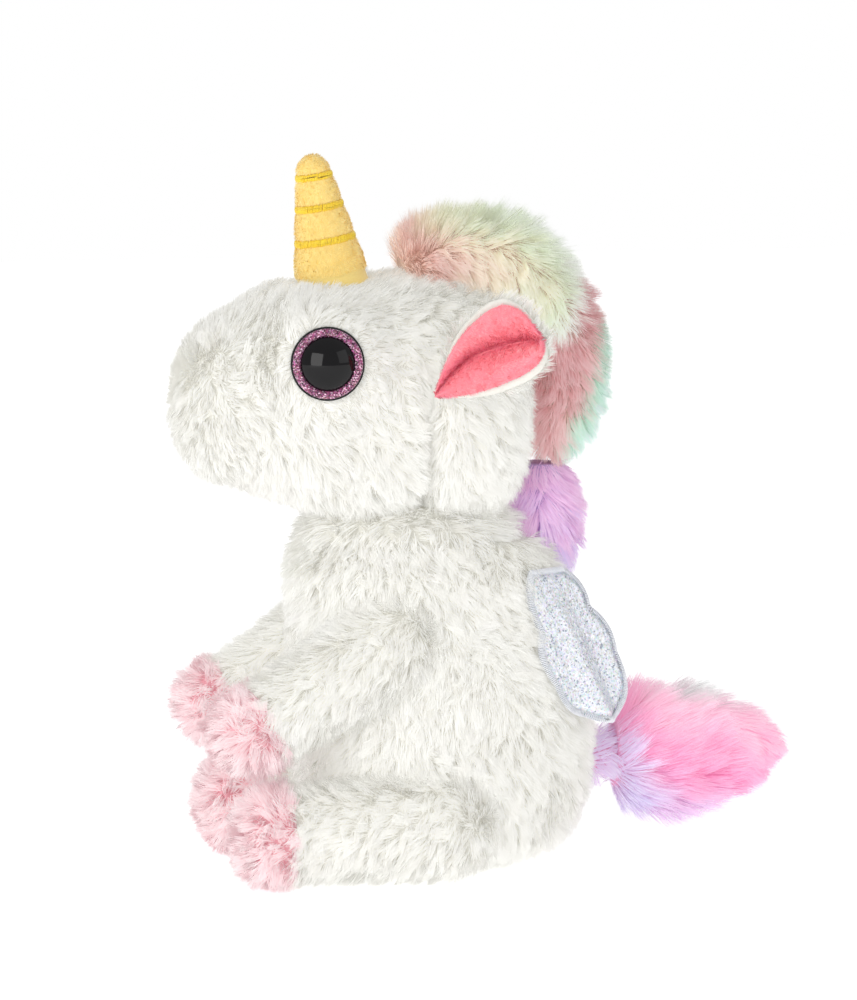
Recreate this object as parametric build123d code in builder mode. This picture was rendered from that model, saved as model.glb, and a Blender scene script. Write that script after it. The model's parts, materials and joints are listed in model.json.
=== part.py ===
"""Sitting plush unicorn: sewn fur covers, stuffing, safety eyes, glitter wings and a bean bag seat.

The toy faces -Y, +Z is up and +X is the toy's own left. The origin is the middle of the flat seat.
All sizes are millimetres. Soft covers are closed skins over stuffing; pieces that flex about a seam
are separate bodies with a small gap at the seam.
"""
from build123d import *
import os
from math import cos, radians, sin, sqrt

# Cloth and gaps
cover_wall = 2.2            # plush cloth with its packed pile
horn_wall = 1.4             # short velour
stuffing_gap = 0.3          # between a cover and the stuffing inside it
flex_gap = 0.6              # between two bodies that turn against each other at a seam
reach = 400.0               # larger than the whole toy, for cutting half spaces

# Body
body_height = 112.0
body_width = 94.0
body_depth = 108.0
belly_shift = 0.01          # centre of the belly behind the seat's, as a share of the depth
shoulder_shift = -0.11      # the same for the shoulders
wing_share = 0.83           # station of the wings' sewn ends
wing_share_shift = -0.09    # the body's shift and depth there
wing_share_depth = 0.76
# height share, centre shift as a share of the depth, width share, depth share
body_form = [
    (0.00, 0.00, 0.62, 0.56),
    (0.04, 0.00, 0.81, 0.76),
    (0.15, belly_shift, 0.94, 0.92),
    (0.38, belly_shift, 1.00, 1.00),
    (0.62, -0.04, 0.94, 0.92),
    (wing_share, wing_share_shift, 0.80, wing_share_depth),
    (0.94, shoulder_shift, 0.62, 0.56),
    (1.00, shoulder_shift, 0.42, 0.36),
]

# Bean bag in the seat
bag_y = 20.0
bag_height = 16.0
bag_lift = 7.0              # above the seat
bag_leg_gap = 3.0           # between the bag and the hind legs
bag_wall = 0.6
bag_rounding = 0.42         # rounding of the bag's edges as a share of its height

# Neck
neck_radius = 21.0
neck_stem_radius = 17.0
neck_stem_depth = 19.0
neck_rise = 3.0             # neck centre above the shoulders
neck_y = shoulder_shift * body_depth

# Head
head_length = 128.0
head_width = 90.0
head_height = 90.0
head_front = -98.0          # muzzle tip
head_clear = 4.0            # underside of the head above the neck centre
eye_share = 0.375           # station of the eyes along the head
eye_width_share = 0.94      # width and height of the head there
eye_height_share = 0.93
head_rounding = 0.74        # corner radius of a section as a share of its smaller half size
seam_share = 0.66           # station of the seam between the face and the back of the head
# length share, width share, height share
head_form = [
    (0.00, 0.27, 0.25),
    (0.05, 0.50, 0.45),
    (0.12, 0.68, 0.63),
    (0.22, 0.83, 0.79),
    (eye_share, eye_width_share, eye_height_share),
    (0.55, 1.00, 1.00),
    (0.72, 1.00, 1.00),
    (0.87, 0.87, 0.89),
    (0.96, 0.60, 0.62),
    (1.00, 0.36, 0.36),
]

# Horn
horn_length = 50.0
horn_base_radius = 13.8
horn_tip_radius = 5.6
horn_lean = 10.0
horn_y = -40.0
horn_sink = 8.0             # how far the horn's axis starts below the top of the head
band_heights = (19.0, 30.5, 41.5)
band_thread = 1.0           # radius of the satin stitch cord

# Mane
mane_path_radius = 45.0
mane_half_width = 17.0
mane_half_depth = 15.5
mane_centre_y = -1.0
mane_drop = 6.0             # mane arc centre above the head's centre line
mane_start = 104.0          # degrees above the horizontal, at the forehead
mane_sweep = 138.0
lock_length = 30.0
lock_half_width = 13.0
lock_half_depth = 8.5
lock_y = 39.0
lock_gap = 1.2
# length share, share of the half sizes
lock_form = [
    (0.00, 0.55),
    (0.30, 1.00),
    (0.60, 0.90),
    (0.85, 0.60),
    (1.00, 0.25),
]

# Ears
ear_length = 44.0
ear_half_width = 14.0
ear_outer_thickness = 6.0
ear_inner_thickness = 2.0
ear_rim = 3.5
ear_widest = 0.55           # station of the ear's widest line
ear_rounding = 2.0
ear_stand_off = 6.5         # from the head's side to the sewn end of the ear
ear_y = -12.0
ear_rise = 8.0              # above the head's centre line
ear_direction = Vector(0.53, 0.71, 0.47)
ear_face = Vector(0.82, -0.57, -0.07)

# Eyes
eye_radius = 12.4
pupil_radius = 8.7
pupil_height = 5.0
eye_base_thickness = 2.0
eye_seat = 0.5              # how far the eye's back is pressed into the cover
ring_thickness = 1.6
ring_rounding = 0.5
ring_width = 2.9
eye_turn = 9.0              # degrees that the eye looks forward of sideways
eye_lift = 3.0              # degrees that the eye looks up
eye_rise = 16.0             # above the head's centre line
shank_radius = 2.2
shank_length = 12.0
washer_radius = 7.5
washer_thickness = 1.5
washer_depth = 5.0          # front of the washer behind the eye's centre plane
eye_gap = 0.2

# Front legs
front_pivot_x = 31.0
front_pivot_y = -24.0
front_pivot_share = 0.74    # of the body's height
front_reach_y = -74.0
front_reach_z = 55.0
front_top_radius = 18.0
front_end_radius = 16.0
front_inner_x = 19.0
front_lift = 30.0           # degrees that a front leg lifts
front_end_gap = 1.8         # round the foot end as the leg swings
front_hoof_length = 20.0

# Hind legs
hind_pivot_x = 34.0
hind_pivot_y = -8.0
hind_reach_y = -64.0
hind_top_radius = 21.0
hind_end_radius = 18.5
hind_toe_in = 2.0           # the feet stand nearer to each other than the hips by this much
hind_splay = 20.0           # degrees that a hind leg swings outward
hind_end_gap = 1.2          # round the foot end as the leg swings
hind_hoof_length = 19.0
foot_lift = 0.3             # the lowest line of the hind legs above the seat plane

# Wings
wing_turn = 28.0            # degrees that a wing faces back from sideways
wing_lean = 14.0            # degrees that a wing stands away from upright
wing_root_x = 27.0
wing_root_ahead = 2.0       # ahead of the body's rearmost line at the station
wing_root_rise = 7.0        # above the station
wing_length = 53.0
wing_cloth = 0.8
wing_pad = 2.8

# Tail
tail_length = 68.0
tail_half_height = 22.5
tail_half_width = 15.0
tail_z = 36.0
tail_root_radius = 7.5
tail_root_cover = 0.15      # share of the root's radius that the tail is drawn over
# length share, width share, height share
tail_form = [
    (0.00, 0.58, 0.46),
    (0.14, 0.86, 0.76),
    (0.44, 1.00, 1.00),
    (0.72, 0.80, 0.78),
    (0.91, 0.50, 0.42),
    (1.00, 0.20, 0.14),
]

neck_centre = Vector(0, neck_y, body_height + neck_rise)
head_z = neck_centre.Z + head_clear + head_height / 2
head_top = head_z + head_height / 2
bag_radius = Vector(hind_pivot_x, hind_pivot_y - bag_y).length - hind_top_radius - bag_leg_gap

os.makedirs("parts", exist_ok=True)


def save(piece, name):
    """Labels one finished piece and writes it under its own name."""
    piece.part.label = name
    export_step(piece.part, f"parts/{name}.step")


def save_pair(left, name):
    """Writes a left piece and its mirror image on the toy's right."""
    save(left, f"{name}_left")
    with BuildPart() as right:
        mirror(left.part, about=Plane.YZ)
    save(right, f"{name}_right")


def body_shape(inset):
    """The pear shaped body, all its surfaces moved in by inset."""
    with BuildPart() as shape:
        for height, shift, width, depth in body_form:
            with BuildSketch(Plane.XY.offset(inset + height * (body_height - 2 * inset))):
                with Locations((0, shift * body_depth)):
                    Ellipse(width * body_width / 2 - inset, depth * body_depth / 2 - inset)
        loft()
    return shape.part


def head_shape(inset):
    """Rounded sections stacked along Y from the muzzle to the back of the head, moved in by inset."""
    with BuildPart() as shape:
        for share, width, height in head_form:
            along = head_front + inset + share * (head_length - 2 * inset)
            across = width * head_width / 2
            up = height * head_height / 2
            with BuildSketch(Plane.XZ.offset(-along)):
                with Locations((0, head_z)):
                    RectangleRounded(
                        2 * (across - inset),
                        2 * (up - inset),
                        head_rounding * min(across, up) - inset,
                    )
        loft()
    return shape.part


def tail_shape(inset):
    """The leaf shaped tail along +Y, its surfaces moved in by inset."""
    with BuildPart() as shape:
        for share, width, height in tail_form:
            along = tail_start + inset + share * (tail_length - 2 * inset)
            with BuildSketch(Plane.XZ.offset(-along)):
                with Locations((0, tail_z)):
                    Ellipse(width * tail_half_width - inset, height * tail_half_height - inset)
        loft()
    return shape.part


def limb_shape(start, end, start_radius, end_radius, grow):
    """A limb with round ends: two spheres and the cone that is tangent to both."""
    along = end - start
    with BuildPart() as shape:
        with BuildSketch(Plane(origin=start, x_dir=along, z_dir=along.cross(Vector(1, 0, 0)))):
            Circle(start_radius + grow)
            with Locations((along.length, 0)):
                Circle(end_radius + grow)
            make_hull()
            with Locations((0, -reach / 2)):
                Rectangle(2 * reach, reach, mode=Mode.SUBTRACT)
        revolve(axis=Axis(start, along))
    return shape.part


def neck_shape(grow):
    """The stuffed neck: a ball in the head on a stem in the body."""
    with BuildPart() as shape:
        with Locations(neck_centre):
            Sphere(neck_radius + grow)
            Cylinder(
                neck_stem_radius + grow,
                neck_stem_depth + grow,
                align=(Align.CENTER, Align.CENTER, Align.MAX),
            )
    return shape.part


# Shared forms
body_outer = body_shape(0.0)
body_inner = body_shape(cover_wall)
head_outer = head_shape(0.0)
head_inner = head_shape(cover_wall)
neck_space = neck_shape(flex_gap)

# Leg joints and the limbs about them
front_pivot = Vector(front_pivot_x, front_pivot_y, front_pivot_share * body_height)
front_end = Vector(front_pivot_x, front_reach_y, front_reach_z)
front_args = (front_pivot, front_end, front_top_radius, front_end_radius)
hind_pivot = Vector(hind_pivot_x, hind_pivot_y, hind_top_radius + foot_lift)
hind_end = Vector(hind_pivot_x - hind_toe_in, hind_reach_y, hind_end_radius + foot_lift)
hind_args = (hind_pivot, hind_end, hind_top_radius, hind_end_radius)

# Room in the body for a front leg, over its whole swing
front_swept = [
    front_end.rotate(Axis(front_pivot, (1, 0, 0)), -angle) for angle in (0, front_lift / 2, front_lift)
]
with BuildPart() as front_room:
    for low, high in zip(front_swept, front_swept[1:]):
        with BuildSketch(Plane.YZ.offset(front_inner_x - flex_gap)):
            with Locations((front_pivot.Y, front_pivot.Z)):
                Circle(front_top_radius + flex_gap)
            for point in (low, high):
                with Locations((point.Y, point.Z)):
                    Circle(front_end_radius + front_end_gap)
            make_hull()
        extrude(amount=body_width)

# Room in the body for a hind leg, over its whole splay
hind_swept = [
    hind_end.rotate(Axis(hind_pivot, (0, 0, 1)), angle) for angle in (0, hind_splay / 2, hind_splay)
]
with BuildPart() as hind_room:
    for near, far in zip(hind_swept, hind_swept[1:]):
        with BuildSketch(Plane.XY.offset(-flex_gap)):
            with Locations((hind_pivot.X, hind_pivot.Y)):
                Circle(hind_top_radius + flex_gap)
            for point in (near, far):
                with Locations((point.X, point.Y)):
                    Circle(hind_end_radius + hind_end_gap)
            make_hull()
        extrude(amount=hind_pivot.Z + hind_top_radius + 2 * flex_gap)

# Ball that the tail turns on, in a socket in the body and in the tail
tail_root_centre = Vector(0, (belly_shift + 0.5) * body_depth + flex_gap, tail_z)
tail_start = tail_root_centre.Y + tail_root_radius * (1 - tail_root_cover)
with BuildPart() as tail_root:
    with Locations(tail_root_centre):
        Sphere(tail_root_radius)
save(tail_root, "tail_root")

with BuildPart() as tail_socket:
    with Locations(tail_root_centre):
        Sphere(tail_root_radius + flex_gap)

# Body: cover, stuffing and the bean bag that weights the seat
with BuildPart() as body_cover:
    add(body_outer)
    add(body_inner, mode=Mode.SUBTRACT)
    add(neck_space, mode=Mode.SUBTRACT)
    add(tail_socket.part, mode=Mode.SUBTRACT)
    for room in (front_room.part, hind_room.part):
        add(room, mode=Mode.SUBTRACT)
        mirror(room, about=Plane.YZ, mode=Mode.SUBTRACT)
save(body_cover, "body_cover")


def bean_bag_shape(inset):
    """A round pillow resting low in the body, moved in by inset."""
    with BuildPart() as shape:
        with BuildSketch(Plane.XY.offset(bag_lift + inset)):
            with Locations((0, bag_y)):
                Circle(bag_radius - inset)
        extrude(amount=bag_height - 2 * inset)
        fillet(edges(), bag_rounding * bag_height - inset)
    return shape.part


bean_bag = bean_bag_shape(0.0)
with BuildPart() as bean_bag_pellets:
    add(bean_bag_shape(bag_wall))
save(bean_bag_pellets, "bean_bag_pellets")

with BuildPart() as bean_bag_pouch:
    add(bean_bag)
    add(bean_bag_pellets.part, mode=Mode.SUBTRACT)
save(bean_bag_pouch, "bean_bag_pouch")

with BuildPart() as body_stuffing:
    add(body_shape(cover_wall + stuffing_gap))
    add(bean_bag, mode=Mode.SUBTRACT)
    add(neck_space, mode=Mode.SUBTRACT)
    add(tail_socket.part, mode=Mode.SUBTRACT)
    for room in (front_room.part, hind_room.part):
        add(room, mode=Mode.SUBTRACT)
        mirror(room, about=Plane.YZ, mode=Mode.SUBTRACT)
save(body_stuffing, "body_stuffing")

with BuildPart() as neck_stuffing:
    add(neck_shape(0.0))
save(neck_stuffing, "neck_stuffing")

# Eyes: a black base with its shank, a glitter ring, a domed pupil and the lock washer inside the head
eye_y = head_front + eye_share * head_length
eye_half_width = eye_width_share * head_width / 2
eye_half_height = eye_height_share * head_height / 2
eye_corner = head_rounding * min(eye_half_width, eye_half_height)
eye_above_flat = max(0.0, eye_rise - (eye_half_height - eye_corner))
eye_x = eye_half_width - eye_corner + sqrt(eye_corner**2 - eye_above_flat**2)
eye_level = Vector(cos(radians(eye_turn)), -sin(radians(eye_turn)), 0)
eye_out = eye_level * cos(radians(eye_lift)) + Vector(0, 0, sin(radians(eye_lift)))
eye_origin = Vector(eye_x, eye_y, head_z + eye_rise) - eye_out * eye_seat
eye_axis = Axis(eye_origin, eye_out)
eye_side = Vector(0, 0, 1).cross(eye_out).normalized()
eye_profile = Plane(origin=eye_origin, x_dir=eye_out.cross(eye_side), z_dir=eye_side)
eye_face = Plane(origin=eye_origin, z_dir=eye_out)

with BuildPart() as eye_base:
    with BuildSketch(eye_profile):
        Rectangle(eye_radius, eye_base_thickness, align=(Align.MIN, Align.MIN))
        Rectangle(shank_radius, shank_length, align=(Align.MIN, Align.MAX))
    revolve(axis=eye_axis)
save_pair(eye_base, "eye_base")

with BuildPart() as eye_glitter_ring:
    with BuildSketch(eye_face.offset(eye_base_thickness)):
        Circle(pupil_radius + eye_gap + ring_width)
        Circle(pupil_radius + eye_gap, mode=Mode.SUBTRACT)
    extrude(amount=ring_thickness)
    fillet(edges().group_by(SortBy.LENGTH)[-1], ring_rounding)
save_pair(eye_glitter_ring, "eye_glitter_ring")

with BuildPart() as eye_pupil:
    with BuildSketch(eye_profile):
        with BuildLine():
            ThreePointArc(
                (-pupil_radius, eye_base_thickness),
                (0, eye_base_thickness + pupil_height),
                (pupil_radius, eye_base_thickness),
            )
            Line((pupil_radius, eye_base_thickness), (-pupil_radius, eye_base_thickness))
        make_face()
        Rectangle(reach, reach, align=(Align.MAX, Align.CENTER), mode=Mode.SUBTRACT)
    revolve(axis=eye_axis)
save_pair(eye_pupil, "eye_pupil")

with BuildPart() as eye_washer:
    with BuildSketch(eye_face.offset(-washer_depth)):
        Circle(washer_radius)
        Circle(shank_radius, mode=Mode.SUBTRACT)
    extrude(amount=-washer_thickness)
save_pair(eye_washer, "eye_washer")

with BuildPart() as eye_room:
    with BuildSketch(eye_face.offset(-eye_gap)):
        Circle(eye_radius + eye_gap)
    extrude(amount=head_width)
    with BuildSketch(eye_face):
        Circle(shank_radius + eye_gap)
    extrude(amount=-shank_length - eye_gap)

with BuildPart() as washer_room:
    with BuildSketch(eye_face.offset(eye_gap - washer_depth)):
        Circle(washer_radius + eye_gap)
    extrude(amount=-washer_thickness - 2 * eye_gap)

# Head: the cover is sewn from a face and a back panel, over one stuffing
with BuildPart() as head_cover:
    add(head_outer)
    add(head_inner, mode=Mode.SUBTRACT)
    add(neck_space, mode=Mode.SUBTRACT)
    add(eye_room.part, mode=Mode.SUBTRACT)
    mirror(eye_room.part, about=Plane.YZ, mode=Mode.SUBTRACT)

seam_plane = Plane.XZ.offset(-(head_front + seam_share * head_length))
with BuildPart() as face_cover:
    split(head_cover.part, bisect_by=seam_plane, keep=Keep.TOP, mode=Mode.ADD)
save(face_cover, "face_cover")

with BuildPart() as back_head_cover:
    split(head_cover.part, bisect_by=seam_plane, keep=Keep.BOTTOM, mode=Mode.ADD)
save(back_head_cover, "back_head_cover")

with BuildPart() as head_stuffing:
    add(head_shape(cover_wall + stuffing_gap))
    add(neck_space, mode=Mode.SUBTRACT)
    for room in (eye_room.part, washer_room.part):
        add(room, mode=Mode.SUBTRACT)
        mirror(room, about=Plane.YZ, mode=Mode.SUBTRACT)
save(head_stuffing, "head_stuffing")

# Horn: a stuffed velour cone with three satin stitch bands, leaning forward
horn_origin = Vector(0, horn_y, head_top - horn_sink)
horn_out = Vector(0, -sin(radians(horn_lean)), cos(radians(horn_lean)))
horn_axis = Axis(horn_origin, horn_out)
horn_profile = Plane(origin=horn_origin, x_dir=(1, 0, 0), z_dir=Vector(1, 0, 0).cross(horn_out))
horn_shoulder = horn_length - horn_tip_radius


def horn_radius(height):
    """Radius of the horn's cover at a height along its axis."""
    return horn_base_radius + (horn_tip_radius - horn_base_radius) * height / horn_shoulder


def horn_shape(inset):
    """The horn's cone with its round tip, moved in by inset."""
    with BuildPart() as shape:
        with BuildSketch(horn_profile):
            with BuildLine():
                Polyline(
                    (0, horn_length - inset),
                    (0, 0),
                    (horn_base_radius - inset, 0),
                    (horn_tip_radius - inset, horn_shoulder),
                )
                CenterArc((0, horn_shoulder), horn_tip_radius - inset, 0, 90)
            make_face()
        revolve(axis=horn_axis)
        add(head_outer, mode=Mode.SUBTRACT)
    return shape.part


horn_bands = []
for name, height in zip(("lower", "middle", "upper"), band_heights):
    with BuildPart() as horn_band:
        with BuildSketch(horn_profile):
            with Locations((horn_radius(height), height)):
                Circle(band_thread)
        revolve(axis=horn_axis)
    save(horn_band, f"horn_band_{name}")
    horn_bands.append(horn_band.part)

with BuildPart() as horn_cover:
    add(horn_shape(0.0))
    add(horn_shape(horn_wall), mode=Mode.SUBTRACT)
    for band in horn_bands:
        add(band, mode=Mode.SUBTRACT)
save(horn_cover, "horn_cover")

with BuildPart() as horn_stuffing:
    add(horn_shape(horn_wall + stuffing_gap))
save(horn_stuffing, "horn_stuffing")

# Mane: a long fur roll from the forehead over the back of the head, with a loose lilac lock below
mane_centre = Vector(0, mane_centre_y, head_z + mane_drop)
mane_axis = Axis(mane_centre, (-1, 0, 0))


def mane_shape(inset):
    """The mane's roll about the head, with its surface moved in by inset."""
    start = radians(mane_start)
    outward = Vector(0, cos(start), sin(start))
    plane = Plane(origin=mane_centre, x_dir=outward, z_dir=Vector(1, 0, 0).cross(outward))
    with BuildPart() as shape:
        with BuildSketch(plane):
            with Locations((mane_path_radius, 0)):
                Ellipse(mane_half_depth - inset, mane_half_width - inset)
        revolve(axis=mane_axis, revolution_arc=mane_sweep)
        add(head_outer, mode=Mode.SUBTRACT)
    return shape.part


with BuildPart() as mane_cover:
    add(mane_shape(0.0))
    add(mane_shape(cover_wall), mode=Mode.SUBTRACT)
save(mane_cover, "mane_cover")

with BuildPart() as mane_stuffing:
    add(mane_shape(cover_wall + stuffing_gap))
save(mane_stuffing, "mane_stuffing")

mane_end = radians(mane_start - mane_sweep)
lock_top = mane_centre.Z + sin(mane_end) * (mane_path_radius + mane_half_depth) - lock_gap
with BuildPart() as mane_lock:
    for share, grow in lock_form:
        with BuildSketch(Plane.XY.offset(lock_top - share * lock_length)):
            with Locations((0, lock_y)):
                Ellipse(grow * lock_half_width, grow * lock_half_depth)
    loft()
save(mane_lock, "mane_lock")

# Ears: a fur outside with a velour inside, sewn on at one end
ear_out = ear_face.cross(ear_direction)
ear_face_out = ear_direction.cross(ear_out).normalized()
ear_root = Vector(head_width / 2 + ear_stand_off, ear_y, head_z + ear_rise)
ear_plane = Plane(origin=ear_root, x_dir=ear_direction, z_dir=ear_face_out)


def ear_leaf(rim):
    """A leaf from the sewn end to the tip, its edge moved in by rim."""
    middle = ear_widest * ear_length
    with BuildSketch(ear_plane) as leaf:
        with BuildLine():
            ThreePointArc((rim, 0), (middle, ear_half_width - rim), (ear_length - rim, 0))
            ThreePointArc((ear_length - rim, 0), (middle, rim - ear_half_width), (rim, 0))
        make_face()
    return leaf.sketch


with BuildPart() as ear_outer:
    extrude(ear_leaf(0.0), amount=-ear_outer_thickness)
    fillet(faces().sort_by(Axis(ear_root, ear_face_out))[0].edges(), ear_rounding)
save_pair(ear_outer, "ear_outer")

with BuildPart() as ear_inner:
    extrude(ear_leaf(ear_rim), amount=ear_inner_thickness)
save_pair(ear_inner, "ear_inner")


def save_leg(name, args, hoof_length, inner_x):
    """Writes a leg's cover, hoof and stuffing; what lies nearer the middle than inner_x is cut off."""
    start, end, start_radius, end_radius = args
    along = (end - start).normalized()
    cuff = Plane(origin=end + along * (end_radius - hoof_length), z_dir=along)
    side = Plane.YZ.offset(inner_x)
    with BuildPart() as skin:
        add(limb_shape(*args, 0.0))
        add(limb_shape(*args, -cover_wall), mode=Mode.SUBTRACT)
        split(bisect_by=side, keep=Keep.TOP)
    with BuildPart() as cover:
        split(skin.part, bisect_by=cuff, keep=Keep.BOTTOM, mode=Mode.ADD)
    save_pair(cover, f"{name}_leg_cover")
    with BuildPart() as hoof:
        split(skin.part, bisect_by=cuff, keep=Keep.TOP, mode=Mode.ADD)
    save_pair(hoof, f"{name}_hoof")
    with BuildPart() as stuffing:
        add(limb_shape(*args, -cover_wall - stuffing_gap))
        split(bisect_by=side, keep=Keep.TOP)
    save_pair(stuffing, f"{name}_leg_stuffing")


save_leg("front", front_args, front_hoof_length, front_inner_x)
save_leg("hind", hind_args, hind_hoof_length, 0.0)

# Wings: two scalloped layers of glitter cloth with wadding between them, sewn on at the top
wing_root = Vector(
    wing_root_x,
    (wing_share_shift + wing_share_depth / 2) * body_depth - wing_root_ahead,
    wing_share * body_height + wing_root_rise,
)
wing_back = Vector(cos(radians(wing_turn)), sin(radians(wing_turn)), 0)
wing_across = Vector(-sin(radians(wing_turn)), cos(radians(wing_turn)), 0)
wing_up = Vector(0, 0, 1) * cos(radians(wing_lean)) - wing_back * sin(radians(wing_lean))
wing_plane = Plane(origin=wing_root, x_dir=wing_across, z_dir=wing_across.cross(wing_up))
# Corners between the scallops: share of the wing's length across, share down from the sewn end
wing_corners = [
    (0.14, 0.00),
    (0.27, 0.28),
    (0.36, 0.60),
    (0.22, 1.00),
    (-0.10, 0.98),
    (-0.27, 0.76),
    (-0.24, 0.40),
    (-0.14, 0.00),
]
scallop = 0.035             # how far each scallop bulges, as a share of the wing's length


def wing_outline(height):
    """The scalloped wing, straight along its sewn end, at a height in its thickness."""
    points = [(across * wing_length, -down * wing_length) for across, down in wing_corners]
    with BuildSketch(wing_plane.offset(height)) as outline:
        with BuildLine():
            for begin, finish in zip(points, points[1:]):
                SagittaArc(begin, finish, scallop * wing_length)
            Line(points[-1], points[0])
        make_face()
    return outline.sketch


for name, low, high in (
    ("backing", 0.0, wing_cloth),
    ("wadding", wing_cloth, wing_cloth + wing_pad),
    ("glitter", wing_cloth + wing_pad, 2 * wing_cloth + wing_pad),
):
    with BuildPart() as wing_layer:
        extrude(wing_outline(low), amount=high - low)
    save_pair(wing_layer, f"wing_{name}")

# Tail: a stuffed fur leaf on its ball
with BuildPart() as tail_cover:
    add(tail_shape(0.0))
    add(tail_shape(cover_wall), mode=Mode.SUBTRACT)
    add(tail_socket.part, mode=Mode.SUBTRACT)
save(tail_cover, "tail_cover")

with BuildPart() as tail_stuffing:
    add(tail_shape(cover_wall + stuffing_gap))
    add(tail_socket.part, mode=Mode.SUBTRACT)
save(tail_stuffing, "tail_stuffing")
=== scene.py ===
"""Sitting plush unicorn: fur, velour, glitter cloth and safety eyes around the fixed CAD frame.

Shapes are worked out in millimetres and turned into metres when a mesh is made. The toy faces -Y,
+Z is up and +X is its own left. Every skin is a tube of rounded sections about a line of centres,
and its pile is a coat of thin tapering ribbons, rooted on the skin and drawn together in tufts.
"""

import json
import math

import bpy
import numpy as np
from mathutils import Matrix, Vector, kdtree


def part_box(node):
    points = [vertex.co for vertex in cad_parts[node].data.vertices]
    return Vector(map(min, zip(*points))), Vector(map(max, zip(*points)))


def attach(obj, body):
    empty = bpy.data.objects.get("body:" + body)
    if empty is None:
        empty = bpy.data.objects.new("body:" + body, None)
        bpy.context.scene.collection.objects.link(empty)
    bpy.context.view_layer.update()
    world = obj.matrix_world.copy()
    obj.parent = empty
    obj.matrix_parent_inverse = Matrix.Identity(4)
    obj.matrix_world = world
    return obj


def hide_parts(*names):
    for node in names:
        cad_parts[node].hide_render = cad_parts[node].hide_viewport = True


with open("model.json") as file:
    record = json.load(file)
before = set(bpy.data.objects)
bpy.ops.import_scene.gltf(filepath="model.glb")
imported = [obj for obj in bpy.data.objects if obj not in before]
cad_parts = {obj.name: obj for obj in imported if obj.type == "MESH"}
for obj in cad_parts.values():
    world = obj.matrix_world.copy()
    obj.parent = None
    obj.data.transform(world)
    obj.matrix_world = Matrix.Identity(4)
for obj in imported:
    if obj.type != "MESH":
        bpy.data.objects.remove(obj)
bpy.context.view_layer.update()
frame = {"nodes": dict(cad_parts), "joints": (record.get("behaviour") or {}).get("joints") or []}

MM = 0.001
UP = np.array((0.0, 0.0, 1.0))
SIDES = (("left", 1.0), ("right", -1.0))
joints = {j["name"]: j for j in frame["joints"]}


# ---------------------------------------------------------------- measuring and small maths

def box(*nodes):
    """Lowest and highest corner of some CAD nodes, in millimetres."""
    corners = np.array([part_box(n) for n in nodes]) / MM
    return corners[:, 0].min(axis=0), corners[:, 1].max(axis=0)


def pivot(joint):
    """Where a joint turns, in millimetres."""
    return np.array(joints[joint]["pos_m"]) / MM


def unit(v):
    """Vectors of length one."""
    v = np.asarray(v, float)
    return v / np.maximum(np.linalg.norm(v, axis=-1, keepdims=True), 1e-9)


def smooth(low, high, x):
    """0 below low, 1 above high, and an easy curve between."""
    t = np.clip((np.asarray(x, float) - low) / (high - low), 0, 1)
    return t * t * (3 - 2 * t)


def curve(stations, x):
    """Smooth values at x through rows of (position, value, value ...)."""
    rows = np.array(stations, float)
    knots, values = rows[:, 0], rows[:, 1:]
    slopes = np.gradient(values, knots, axis=0)
    i = np.clip(np.searchsorted(knots, x) - 1, 0, len(knots) - 2)
    span = (knots[i + 1] - knots[i])[:, None]
    t = ((x - knots[i])[:, None]) / span
    return (
        (2 * t**3 - 3 * t**2 + 1) * values[i]
        + (t**3 - 2 * t**2 + t) * span * slopes[i]
        + (3 * t**2 - 2 * t**3) * values[i + 1]
        + (t**3 - t**2) * span * slopes[i + 1]
    )


# ---------------------------------------------------------------- skins

class Skin:
    """A closed tube, held as rings of points in millimetres."""

    def __init__(self, rings):
        self.rings = rings
        self.refresh()

    def refresh(self):
        """Works out the normals again after the rings have been moved."""
        along = np.gradient(self.rings, axis=0)
        about = np.roll(self.rings, -1, axis=1) - np.roll(self.rings, 1, axis=1)
        normal = np.cross(about, along)
        centre = self.rings.mean(axis=(0, 1))
        middle = self.rings.mean(axis=1, keepdims=True)
        out = np.sum(normal * (self.rings - middle), axis=-1).mean()
        self.normals = unit(normal if out > 0 else -normal)
        ends = unit(middle[[0, -1], 0] - centre)
        self.normals[0], self.normals[-1] = ends[0], ends[1]
        self.flipped = out <= 0

    def push(self, distance):
        """Moves every point along its normal."""
        self.rings = self.rings + self.normals * distance[..., None]
        self.refresh()

    def part(self, start, stop):
        """The stretch of the tube from one ring to another, with the normals it had."""
        piece = Skin(self.rings[start:stop])
        piece.normals = self.normals[start:stop]
        return piece

    def faces(self):
        """Quads between the rings; the two ends are closed by one face each."""
        rows, around = self.rings.shape[:2]
        ring = np.arange(around)
        after = (ring + 1) % around
        quads = []
        for i in range(rows - 1):
            low, high = i * around, (i + 1) * around
            quads.append(np.stack([low + ring, low + after, high + after, high + ring], axis=1))
        quads = np.concatenate(quads)
        if self.flipped:
            quads = quads[:, ::-1]
        return quads

    def roots(self, per_mm2, seed):
        """Random points on the skin, evenly spread by area, with their normals and grid places."""
        rand = np.random.default_rng(seed)
        p = self.rings
        q = np.roll(p, -1, axis=1)
        area = 0.5 * np.linalg.norm(np.cross(p[1:] - p[:-1], q[:-1] - p[:-1]), axis=-1)
        area = area + 0.5 * np.linalg.norm(np.cross(q[:-1] - q[1:], p[1:] - q[1:]), axis=-1)
        share = area.ravel() / area.sum()
        count = int(area.sum() * per_mm2)
        cell = rand.choice(share.size, count, p=share)
        i, j = np.divmod(cell, p.shape[1])
        u, v = rand.random((2, count, 1))
        k = (j + 1) % p.shape[1]

        def blend(grid):
            """The grid's value at each chosen place."""
            near = grid[i, j] * (1 - v) + grid[i, k] * v
            far = grid[i + 1, j] * (1 - v) + grid[i + 1, k] * v
            return near * (1 - u) + far * u

        return blend(self.rings), unit(blend(self.normals)), (i + u[:, 0]) / (p.shape[0] - 1)


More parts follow.
